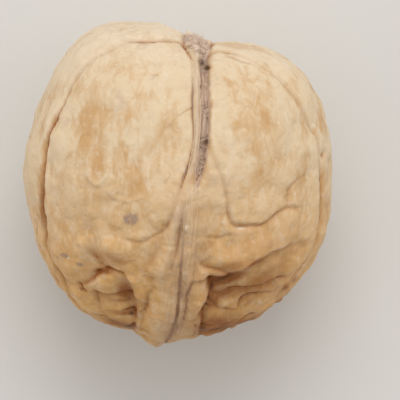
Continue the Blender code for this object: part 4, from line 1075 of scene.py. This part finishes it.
class GeometryTree(Tree):
    """A Geometry Nodes tree with named inputs, which ends by realizing its copies and setting the finish."""

    def __init__(self, name: str) -> None:
        """Make the group with a geometry coming in and one going out."""
        super().__init__(bpy.data.node_groups.new(name, "GeometryNodeTree"))
        self.sockets: dict[str, str] = {}
        self.entry = self.nodes.nodes.new("NodeGroupInput")
        self.start = self.named("Geometry", "NodeSocketGeometry")
        self.nodes.interface.new_socket("Geometry", in_out="OUTPUT", socket_type="NodeSocketGeometry")

    def named(self, name: str, kind: str = "NodeSocketFloat") -> Wire:
        """Add a named input of the group and return it as a wire."""
        socket = self.nodes.interface.new_socket(name, in_out="INPUT", socket_type=kind)
        self.sockets[name] = socket.identifier
        return Wire(self, self.entry.outputs[name])

    def scaled(self, vector: Wire, by) -> Wire:
        """A vector times a number."""
        return self.use("ShaderNodeVectorMath", 0, {"operation": "SCALE"}, {0: vector, "Scale": by})

    def sum(self, *vectors: Wire) -> Wire:
        """The sum of vectors."""
        total = vectors[0]
        for vector in vectors[1:]:
            total = self.use("ShaderNodeVectorMath", 0, {"operation": "ADD"}, {0: total, 1: vector})
        return total

    def close(self, geometry: Wire, finish: Wire) -> None:
        """End the tree."""
        smooth = self.use("GeometryNodeSetShadeSmooth", 0, {}, {"Geometry": geometry, "Shade Smooth": True})
        real = self.use("GeometryNodeRealizeInstances", 0, {}, {"Geometry": smooth})
        dressed = self.use("GeometryNodeSetMaterial", 0, {}, {"Geometry": real, "Material": finish})
        exit_node = self.nodes.nodes.new("NodeGroupOutput")
        self.nodes.links.new(dressed.socket, exit_node.inputs[0])

    def run(self, start: bpy.types.Object, name: str, **values) -> bpy.types.Object:
        """Run the tree on an object and keep the result as a plain mesh.

        Args:
            start: The object that it starts from, which is removed.
            name: The new piece's name.
            **values: The named inputs, with _ for a space.

        Returns:
            The new piece, at the origin.
        """
        modifier = start.modifiers.new(name, "NODES")
        modifier.node_group = self.nodes
        for label, value in values.items():
            modifier[self.sockets[label.replace("_", " ").capitalize()]] = value
        evaluated = start.evaluated_get(bpy.context.evaluated_depsgraph_get())
        piece = placed(name, bpy.data.meshes.new_from_object(evaluated))
        piece.data.name = name
        bpy.data.objects.remove(start)
        return piece


def grain_tree() -> GeometryTree:
    """Fine relief over a mesh: rounded grains, and shallow pores between them."""
    tree = GeometryTree("shell_grain")
    grain, height = tree.named("Grain size"), tree.named("Grain height")
    pore, depth = tree.named("Pore size"), tree.named("Pore depth")
    finish = tree.named("Finish", "NodeSocketMaterial")
    place = tree.use("GeometryNodeInputPosition")
    grains = tree.use("ShaderNodeTexNoise", 0, {}, {"Vector": place, "Scale": 1.0 / grain, "Detail": 2.0})
    pores = tree.use("ShaderNodeTexNoise", 0, {}, {"Vector": place, "Scale": 1.0 / pore, "Detail": 1.0})
    lift = (grains - 0.5) * height - pores.share(0.56, 0.72) * depth
    offset = tree.scaled(tree.use("GeometryNodeInputNormal"), lift)
    tree.close(tree.use("GeometryNodeSetPosition", 0, {}, {"Geometry": tree.start, "Offset": offset}), finish)
    return tree


def strand_tree() -> GeometryTree:
    """Strands of fibre along a guide line, laid side by side on the shell."""
    tree = GeometryTree("seam_strands")
    shell = tree.named("Shell", "NodeSocketObject")
    strands, seed = tree.named("Strands", "NodeSocketInt"), tree.named("Seed", "NodeSocketInt")
    width, thickness = tree.named("Bundle width"), tree.named("Thickness")
    wander, lift = tree.named("Wander"), tree.named("Lift")
    finish = tree.named("Finish", "NodeSocketMaterial")
    guide = tree.use("GeometryNodeMeshToCurve", 0, {}, {"Mesh": tree.start})
    copies = tree.use("GeometryNodeDuplicateElements", 0, {"domain": "SPLINE"}, {0: guide, 2: strands})
    number = tree.other(copies, 1)
    pick = {"data_type": "FLOAT"}
    across = tree.use("FunctionNodeRandomValue", 1, pick, {2: -0.5, 3: 0.5, 7: number, 8: seed})
    shade = tree.use("FunctionNodeRandomValue", 1, pick, {2: 0.0, 3: 1.0, 7: number, 8: seed + 1.0})
    bend = tree.use("ShaderNodeTexNoise", 0, {"noise_dimensions": "4D"}, {
        "Vector": tree.use("GeometryNodeInputPosition"), "W": number * 3.7 + seed,
        "Scale": STRAND_BENDS_PER_METRE, "Detail": 2.0,
    })
    side = tree.use("GeometryNodeInputNamedAttribute", 0, {"data_type": "FLOAT_VECTOR"}, {"Name": "side"})
    aside = tree.scaled(side, across * width + (bend - 0.5) * wander)
    spread = tree.use("GeometryNodeSetPosition", 0, {}, {"Geometry": copies, "Offset": aside})
    ground = tree.use("GeometryNodeObjectInfo", 4, {"transform_space": "RELATIVE"}, {"Object": shell})
    foot = tree.use("GeometryNodeProximity", 0, {"target_element": "FACES"}, {"Geometry": ground})
    values = {0: ground, 1: tree.use("GeometryNodeInputNormal")}
    up = tree.use("GeometryNodeSampleNearestSurface", 0, {"data_type": "FLOAT_VECTOR"}, values)
    laid = tree.use("GeometryNodeSetPosition", 0, {}, {
        "Geometry": spread, "Position": tree.sum(foot, tree.scaled(up, lift + (shade - 0.5) * thickness)),
    })
    told = tree.use("GeometryNodeStoreNamedAttribute", 0, {"data_type": "FLOAT", "domain": "POINT"}, {
        "Geometry": laid, "Name": "shade", "Value": shade,
    })
    part = tree.use("GeometryNodeSplineParameter", 0)
    taper = (part * 9.0).clamped() * ((1.0 - part) * 9.0).clamped() * (0.55 + shade * 0.6)
    ring = tree.use("GeometryNodeCurvePrimitiveCircle", 0, {}, {"Resolution": 6, "Radius": thickness})
    tubes = tree.use("GeometryNodeCurveToMesh", 0, {}, {
        "Curve": told, "Profile Curve": ring, "Scale": taper * 0.97 + 0.03, "Fill Caps": True,
    })
    tree.close(tubes, finish)
    return tree


def fuzz_tree() -> GeometryTree:
    """Short curled fibres scattered where a mask on the mesh says."""
    tree = GeometryTree("scar_fuzz")
    density, seed = tree.named("Density"), tree.named("Seed", "NodeSocketInt")
    length, thickness = tree.named("Length"), tree.named("Thickness")
    finish = tree.named("Finish", "NodeSocketMaterial")
    mask = tree.use("GeometryNodeInputNamedAttribute", 0, {"data_type": "FLOAT"}, {"Name": "fuzz"})
    settings = {"distribute_method": "RANDOM"}
    values = {"Mesh": tree.start, "Density": mask * density, "Seed": seed}
    points = tree.use("GeometryNodeDistributePointsOnFaces", 0, settings, values)
    normal = tree.other(points, 1)
    middle = tree.use("ShaderNodeCombineXYZ", 0, {}, {0: length * 0.16, 2: length * 0.55})
    end = tree.use("ShaderNodeCombineXYZ", 0, {}, {0: length * -0.08, 2: length})
    values = {"Resolution": 5, "Start": (0.0, 0.0, 0.0), "Middle": middle, "End": end}
    line = tree.use("GeometryNodeCurveQuadraticBezier", 0, {}, values)
    part = tree.use("GeometryNodeSplineParameter", 0)
    ring = tree.use("GeometryNodeCurvePrimitiveCircle", 0, {}, {"Resolution": 4, "Radius": thickness})
    values = {"Curve": line, "Profile Curve": ring, "Scale": 1.0 - part * 0.85, "Fill Caps": True}
    fibre = tree.use("GeometryNodeCurveToMesh", 0, {}, values)
    spread = {0: (-1.0, -1.0, -1.0), 1: (1.0, 1.0, 1.0), 8: seed}
    lean = tree.use("FunctionNodeRandomValue", 0, {"data_type": "FLOAT_VECTOR"}, spread)
    towards = tree.sum(tree.scaled(normal, 0.55), lean)
    turn = tree.use("FunctionNodeAlignRotationToVector", 0, {"axis": "Z"}, {"Vector": towards})
    size = tree.use("FunctionNodeRandomValue", 1, {"data_type": "FLOAT"}, {2: 0.45, 3: 1.2, 8: seed + 2.0})
    values = {"Points": points, "Instance": fibre, "Rotation": turn, "Scale": size}
    copies = tree.use("GeometryNodeInstanceOnPoints", 0, {}, values)
    tone = {"data_type": "FLOAT", "domain": "INSTANCE"}
    values = {"Geometry": copies, "Name": "shade", "Value": size}
    tree.close(tree.use("GeometryNodeStoreNamedAttribute", 0, tone, values), finish)
    return tree


@dataclass(frozen=True)
class Bundle:
    """Strands of fibre that run along the seam. Sizes are in millimetres."""

    name: str
    route: Route
    strands: int
    width: float
    thickness: float
    lift: float
    wander: float
    seed: int
    under: bool = False
    kind: FibreKind = FibreKind.PALE


BUNDLES = (
    Bundle("left_strand_fibres", ((1.9, 16.2, 1.0), (2.2, 14.6, 1.0), (2.3, 11.0, 1.0), (2.28, 7.0, 1.0),
           (2.15, 4.4, 1.0), (1.75, 2.4, 1.0), (1.4, 0.4, 1.0), (1.25, -2.0, 1.0), (1.2, -5.0, 1.0)),
           7, 0.5, 0.055, -0.025, 0.25, 3),
    Bundle("right_strand_fibres", ((3.0, 12.2, 1.0), (3.15, 10.6, 1.0), (3.2, 9.0, 1.0), (3.15, 6.0, 1.0),
           (3.0, 3.6, 1.0), (2.7, 1.6, 1.0), (2.35, -0.2, 1.0), (2.0, -2.4, 1.0)),
           7, 0.5, 0.06, -0.01, 0.25, 8, kind=FibreKind.GREY),
    Bundle("ridge_fibres", ((1.35, -1.0, 1.0), (1.25, -4.0, 1.0), (1.1, -8.0, 1.0), (0.9, -11.0, 1.0),
           (0.6, -13.4, 1.0), (0.3, -15.4, 1.0), (-0.4, -17.4, 1.0), (-1.4, -18.8, 1.0)),
           7, 1.3, 0.04, -0.02, 0.4, 14, kind=FibreKind.GREY),
    Bundle("under_fibres", SEAM_UNDER, 8, 1.6, 0.055, -0.03, 0.45, 21, under=True),
)


class SeamChart:
    """Where each place lies beside and along the seam, for the ribs and the streaks of its fibres."""

    def __init__(self, body: Body, relief: Relief) -> None:
        """Measure the relief's places against the whole seam, over the top and back along the underside."""
        self.body, self.relief, self.places = body, relief, relief.places
        count = len(relief.places)
        self.side, self.along = np.full(count, SEAM_FAR), np.zeros(count)
        for route, under, start in ((SEAM_ON_TOP, False, 0.0), (SEAM_UNDER, True, SEAM_UNDER_START)):
            trace = Trace.of_route(body, route, under)
            rows = trace.near(self.places, SEAM_FAR)
            nearest, distance, right = trace.measure(self.places[rows])
            closer = distance < np.abs(self.side[rows])
            rows, nearest = rows[closer], nearest[closer]
            self.side[rows] = np.copysign(distance[closer], right[closer])
            self.along[rows] = start + trace.lengths()[nearest]

    def band(self) -> np.ndarray:
        """How much of the seam's ridge is at each place."""
        y, z = self.places[:, 1], self.places[:, 2]
        rough = np.where(z > 0, smooth_share(-y, -1.0, 4.0), smooth_share(np.abs(y), 4.0, 10.0))
        return rough * np.exp(-((self.side / SEAM_BAND_WIDTH) ** 2))

    def channel(self) -> np.ndarray:
        """1 on the floor of the open channel between the two halves."""
        trace = Trace.of_route(self.body, SEAM_CHANNEL, False)
        mask = np.zeros(len(self.places))
        rows = trace.near(self.places, 3.0)
        nearest, distance, right = trace.measure(self.places[rows])
        core = np.exp(-((distance / CHANNEL_STAIN_WIDTH) ** 6))
        strand = np.exp(-(((right - LEFT_STRAND_OFFSET) / LEFT_STRAND_WIDTH) ** 4))
        strand *= distance < CHANNEL_HALO_WIDTH
        mask[rows] = trace.strength[nearest] * np.maximum(core, LEFT_STRAND_STAIN * strand)
        return mask

    def ribs(self) -> np.ndarray:
        """Fine lengthwise ribs on the seam's ridge, as a height."""
        rows = np.flatnonzero(np.abs(self.side) < SEAM_FAR)
        heights = np.zeros(len(self.places))
        across, along = self.side[rows] / RIB_WIDTH, self.along[rows] / RIB_LENGTH
        heights[rows] = [noise.noise(Vector((u, v, 0.0))) for u, v in zip(across, along)]
        return heights * RIB_HEIGHT * self.band()

    def charts(self) -> list[tuple[str, np.ndarray]]:
        """The attributes that the materials and the fibres read."""
        scar = self.relief.spot(*SCAR_SPOT, under=False)
        fuzz = scar * 1.2 + self.channel() * self.relief.spot(*FUZZY_CHANNEL_SPOT, under=False)
        fuzz = fuzz * (1 - self.relief.masks[PatchTone.DARK.value])
        return [
            ("seam_side", self.side), ("seam_along", self.along), ("band", self.band()),
            ("channel", self.channel()), ("scar", smooth_share(scar, 0.2, 0.75)),
            ("fuzz", smooth_share(fuzz, 0.35, 0.9)),
        ]


def smoothed(values: np.ndarray, edges: np.ndarray, rounds: int) -> np.ndarray:
    """Values averaged with their neighbours over a mesh, a number of times."""
    ends, others = np.concatenate((edges[:, 0], edges[:, 1])), np.concatenate((edges[:, 1], edges[:, 0]))
    count = np.bincount(ends, minlength=len(values))
    for _ in range(rounds):
        values = 0.5 * values + 0.5 * np.bincount(ends, weights=values[others], minlength=len(values)) / count
    return values


@dataclass
class Walnut:
    """The nut: its shell and the fibres on it."""

    body: Body = Body()
    grain_size: float = 0.75
    grain_height: float = 0.075
    pore_size: float = 1.1
    pore_depth: float = 0.09
    shell_finish: ShellFinish = ShellFinish()
    fibre_finishes: tuple[FibreFinish, ...] = (
        FibreFinish(FibreKind.PALE, (226, 201, 164), (186, 148, 108)),
        FibreFinish(FibreKind.GREY, (214, 188, 164), (158, 128, 108)),
        FibreFinish(FibreKind.TUFT, (232, 214, 198), (166, 136, 118)),
    )

    def sphere(self) -> bpy.types.Object:
        """An even ball of fine quads, a little finer on the top half."""
        mesh = bpy.data.meshes.new("ball")
        cube = bmesh.new()
        bmesh.ops.create_cube(cube, size=2.0)
        cube.to_mesh(mesh)
        cube.free()
        ball = placed("ball", mesh)
        finer = ball.modifiers.new("finer", "SUBSURF")
        finer.subdivision_type = "SIMPLE"
        finer.levels = finer.render_levels = CUBE_DIVISIONS
        evaluated = ball.evaluated_get(bpy.context.evaluated_depsgraph_get())
        ball.data = bpy.data.meshes.new_from_object(evaluated)
        ball.modifiers.clear()
        return ball

    def directions(self, ball: bpy.types.Object) -> np.ndarray:
        """The unit directions of the ball's points."""
        corners = np.empty(len(ball.data.vertices) * 3)
        ball.data.vertices.foreach_get("co", corners)
        corners = np.tan(corners.reshape(-1, 3) * math.pi / 4)
        corners /= np.linalg.norm(corners, axis=1, keepdims=True)
        corners[:, 2] += TOP_FINENESS
        return corners / np.linalg.norm(corners, axis=1, keepdims=True)

    def relief(self, directions: np.ndarray) -> Relief:
        """All the forms of the shell."""
        relief = Relief(self.body, directions)
        relief.lumps(BROAD_LUMP_SIZE, BROAD_LUMP_HEIGHT, 1.0)
        relief.lumps(SMALL_LUMP_SIZE, SMALL_LUMP_HEIGHT, roughness_along(relief.places[:, 1]))
        for wrinkle in WRINKLES:
            relief.wrinkles(wrinkle)
        forms = (*SEAM, *STEM_END, *BEAK, *LEFT_HALF, *RIGHT_HALF, *UNDERSIDE)
        for form in (*forms, *SEAM_DETAILS, *LEFT_DETAILS, *RIGHT_DETAILS):
            relief.fold(form) if isinstance(form, Fold) else relief.swell(form)
        for fold, trace in Veins(self.body).traces():
            relief.fold(fold, trace)
        relief.tint(PATCHES)
        return relief

    def build_shell(self) -> tuple[bpy.types.Object, np.ndarray]:
        """Model the shell.

        Returns:
            The shell, and how far it was moved to stand on the floor, in millimetres.
        """
        ball = self.sphere()
        relief = self.relief(self.directions(ball))
        seam = SeamChart(self.body, relief)
        relief.height += seam.ribs()
        points = relief.points()
        low, high = points.min(axis=0), points.max(axis=0)
        middle = np.array(((low[0] + high[0]) / 2, (low[1] + high[1]) / 2, low[2]))
        ball.data.vertices.foreach_set("co", ((points - middle) * MM).ravel())
        ball.data.update()
        for name, values in (*relief.masks.items(), *self.hollows(ball, relief), *seam.charts()):
            ball.data.attributes.new(name, "FLOAT", "POINT").data.foreach_set("value", values)
        shell = grain_tree().run(
            ball, "shell", grain_size=self.grain_size * MM, grain_height=self.grain_height * MM,
            pore_size=self.pore_size * MM, pore_depth=self.pore_depth * MM,
            finish=self.shell_finish.material(),
        )
        return shell, middle

    def hollows(self, ball: bpy.types.Object, relief: Relief) -> list[tuple[str, np.ndarray]]:
        """Masks of the creases' floors, the wide hollows and the crests, from the relief itself, for painted
        shade in the floors and hollows and a painted highlight on the crests.
        """
        edges = np.empty(len(ball.data.edges) * 2, dtype=np.int32)
        ball.data.edges.foreach_get("vertices", edges)
        near = smoothed(relief.height, edges.reshape(-1, 2), NEAR_SMOOTHING)
        wide = smoothed(near, edges.reshape(-1, 2), WIDE_SMOOTHING)
        return [
            ("hollow", smooth_share(near - relief.height, *HOLLOW_DEPTHS)),
            ("crest", smooth_share(relief.height - near, *CREST_HEIGHTS)),
            ("basin", np.clip((wide - near) / BASIN_DEPTH, -1, 1)),
        ]

    def guide(self, bundle: Bundle, middle: np.ndarray) -> bpy.types.Object:
        """A bundle's guide line over the shell, with the way sideways at each point."""
        trace = Trace.of_route(self.body, bundle.route, bundle.under)
        mesh = bpy.data.meshes.new("guide")
        count = len(trace.points)
        mesh.from_pydata((trace.points - middle) * MM, [(i, i + 1) for i in range(count - 1)], [])
        side = np.cross(np.gradient(trace.points, axis=0), trace.points)
        side /= np.linalg.norm(side, axis=1, keepdims=True)
        mesh.attributes.new("side", "FLOAT_VECTOR", "POINT").data.foreach_set("vector", side.ravel())
        return placed("guide", mesh)

    def build_fibres(self, shell: bpy.types.Object, middle: np.ndarray) -> list[bpy.types.Object]:
        """Lay the strands of every bundle on the shell, and scatter fuzz in the stem scar."""
        strands = strand_tree()
        finishes = {finish.kind: finish.material() for finish in self.fibre_finishes}
        pieces = [
            strands.run(
                self.guide(bundle, middle), bundle.name, shell=shell, strands=bundle.strands,
                seed=bundle.seed, bundle_width=bundle.width * MM, thickness=bundle.thickness * MM,
                wander=bundle.wander * MM, lift=bundle.lift * MM, finish=finishes[bundle.kind],
            )
            for bundle in BUNDLES
        ]
        ground = placed("scar_ground", shell.data.copy())
        fuzz = fuzz_tree().run(
            ground, "scar_fibres", density=FUZZ_PER_MM2 / MM**2, seed=5, length=FUZZ_LENGTH * MM,
            thickness=FUZZ_THICKNESS * MM, finish=finishes[FibreKind.TUFT],
        )
        return [*pieces, fuzz]


@dataclass(frozen=True)
class AreaLight:
    """A soft square lamp that looks at the nut. Sizes are in metres."""

    name: str
    place: Colour
    size: float
    watts: float
    colour: Colour


@dataclass
class Studio:
    """The floor, the soft light and the camera over the nut."""

    body_middle: Vector
    lens: float = 200.0
    sensor: float = 36.0
    floor_size: float = 6.0
    floor_colour: Colour = (218, 217, 214)
    floor_roughness: float = 0.8
    sky_colour: Colour = (246, 243, 239)
    sky_strength: float = 0.53
    lamps: tuple[AreaLight, ...] = (
        AreaLight("key", (0.02, 0.38, 0.46), 0.34, 1.15, (255, 252, 247)),
        AreaLight("window", (0.05, 0.70, 1.10), 1.50, 4.5, (252, 252, 255)),
        AreaLight("left_fill", (-0.50, 0.0, 0.22), 0.40, 0.5, (255, 252, 248)),
        AreaLight("right_fill", (0.50, 0.0, 0.22), 0.40, 0.5, (255, 252, 248)),
    )

    def build(self) -> None:
        """Set the stage and look straight down."""
        bpy.context.scene.view_settings.view_transform = "Standard"
        self.lay_floor()
        self.light_sky()
        for lamp in self.lamps:
            self.hang(lamp)
        self.aim_camera()

    def lay_floor(self) -> None:
        """A plain pale floor."""
        mesh = bpy.data.meshes.new("floor")
        plane = bmesh.new()
        bmesh.ops.create_grid(plane, x_segments=1, y_segments=1, size=self.floor_size / 2)
        plane.to_mesh(mesh)
        plane.free()
        floor = placed("floor", mesh)
        material = bpy.data.materials.new("pale_floor")
        material.use_nodes = True
        surface = material.node_tree.nodes["Principled BSDF"]
        surface.inputs["Base Color"].default_value = linear(self.floor_colour)
        surface.inputs["Roughness"].default_value = self.floor_roughness
        mesh.materials.append(material)

    def light_sky(self) -> None:
        """An even pale sky."""
        world = bpy.data.worlds.new("studio")
        world.use_nodes = True
        sky = world.node_tree.nodes["Background"]
        sky.inputs["Color"].default_value = linear(self.sky_colour)
        sky.inputs["Strength"].default_value = self.sky_strength
        bpy.context.scene.world = world

    def hang(self, lamp: AreaLight) -> None:
        """Hang a lamp and turn it to the nut."""
        light = bpy.data.lights.new(lamp.name, "AREA")
        light.size, light.energy = lamp.size, lamp.watts
        light.color = linear(lamp.colour)[:3]
        holder = placed(lamp.name, light)
        holder.location = lamp.place
        towards = self.body_middle - holder.location
        holder.rotation_euler = towards.to_track_quat("-Z", "Y").to_euler()

    def aim_camera(self) -> None:
        """Look straight down, with the nut where it lies in the photograph."""
        lens = bpy.data.cameras.new("camera")
        lens.lens, lens.sensor_width = self.lens, self.sensor
        camera = placed("camera", lens)
        frame_width = PHOTO_PIXELS * PIXEL_SIZE * MM
        centre = PHOTO_PIXELS / 2
        right, up = (centre - NUT_PIXEL[0]) * PIXEL_SIZE * MM, (NUT_PIXEL[1] - centre) * PIXEL_SIZE * MM
        camera.location = self.body_middle + Vector((right, up, frame_width * self.lens / self.sensor))
        bpy.context.scene.camera = camera


def main() -> None:
    """Build the nut and its studio, and log each piece's face count."""
    logging.basicConfig(level=logging.INFO, format="%(name)s: %(message)s")
    noise.seed_set(NOISE_SEED)
    nut = Walnut()
    shell, middle = nut.build_shell()
    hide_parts("walnut")
    for piece in (shell, *nut.build_fibres(shell, middle)):
        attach(piece, ROOT)
        LOG.info("%s has %d faces", piece.name, len(piece.data.polygons))
    Studio(Vector(-middle * MM)).build()


if __name__ == "__main__":
    main()
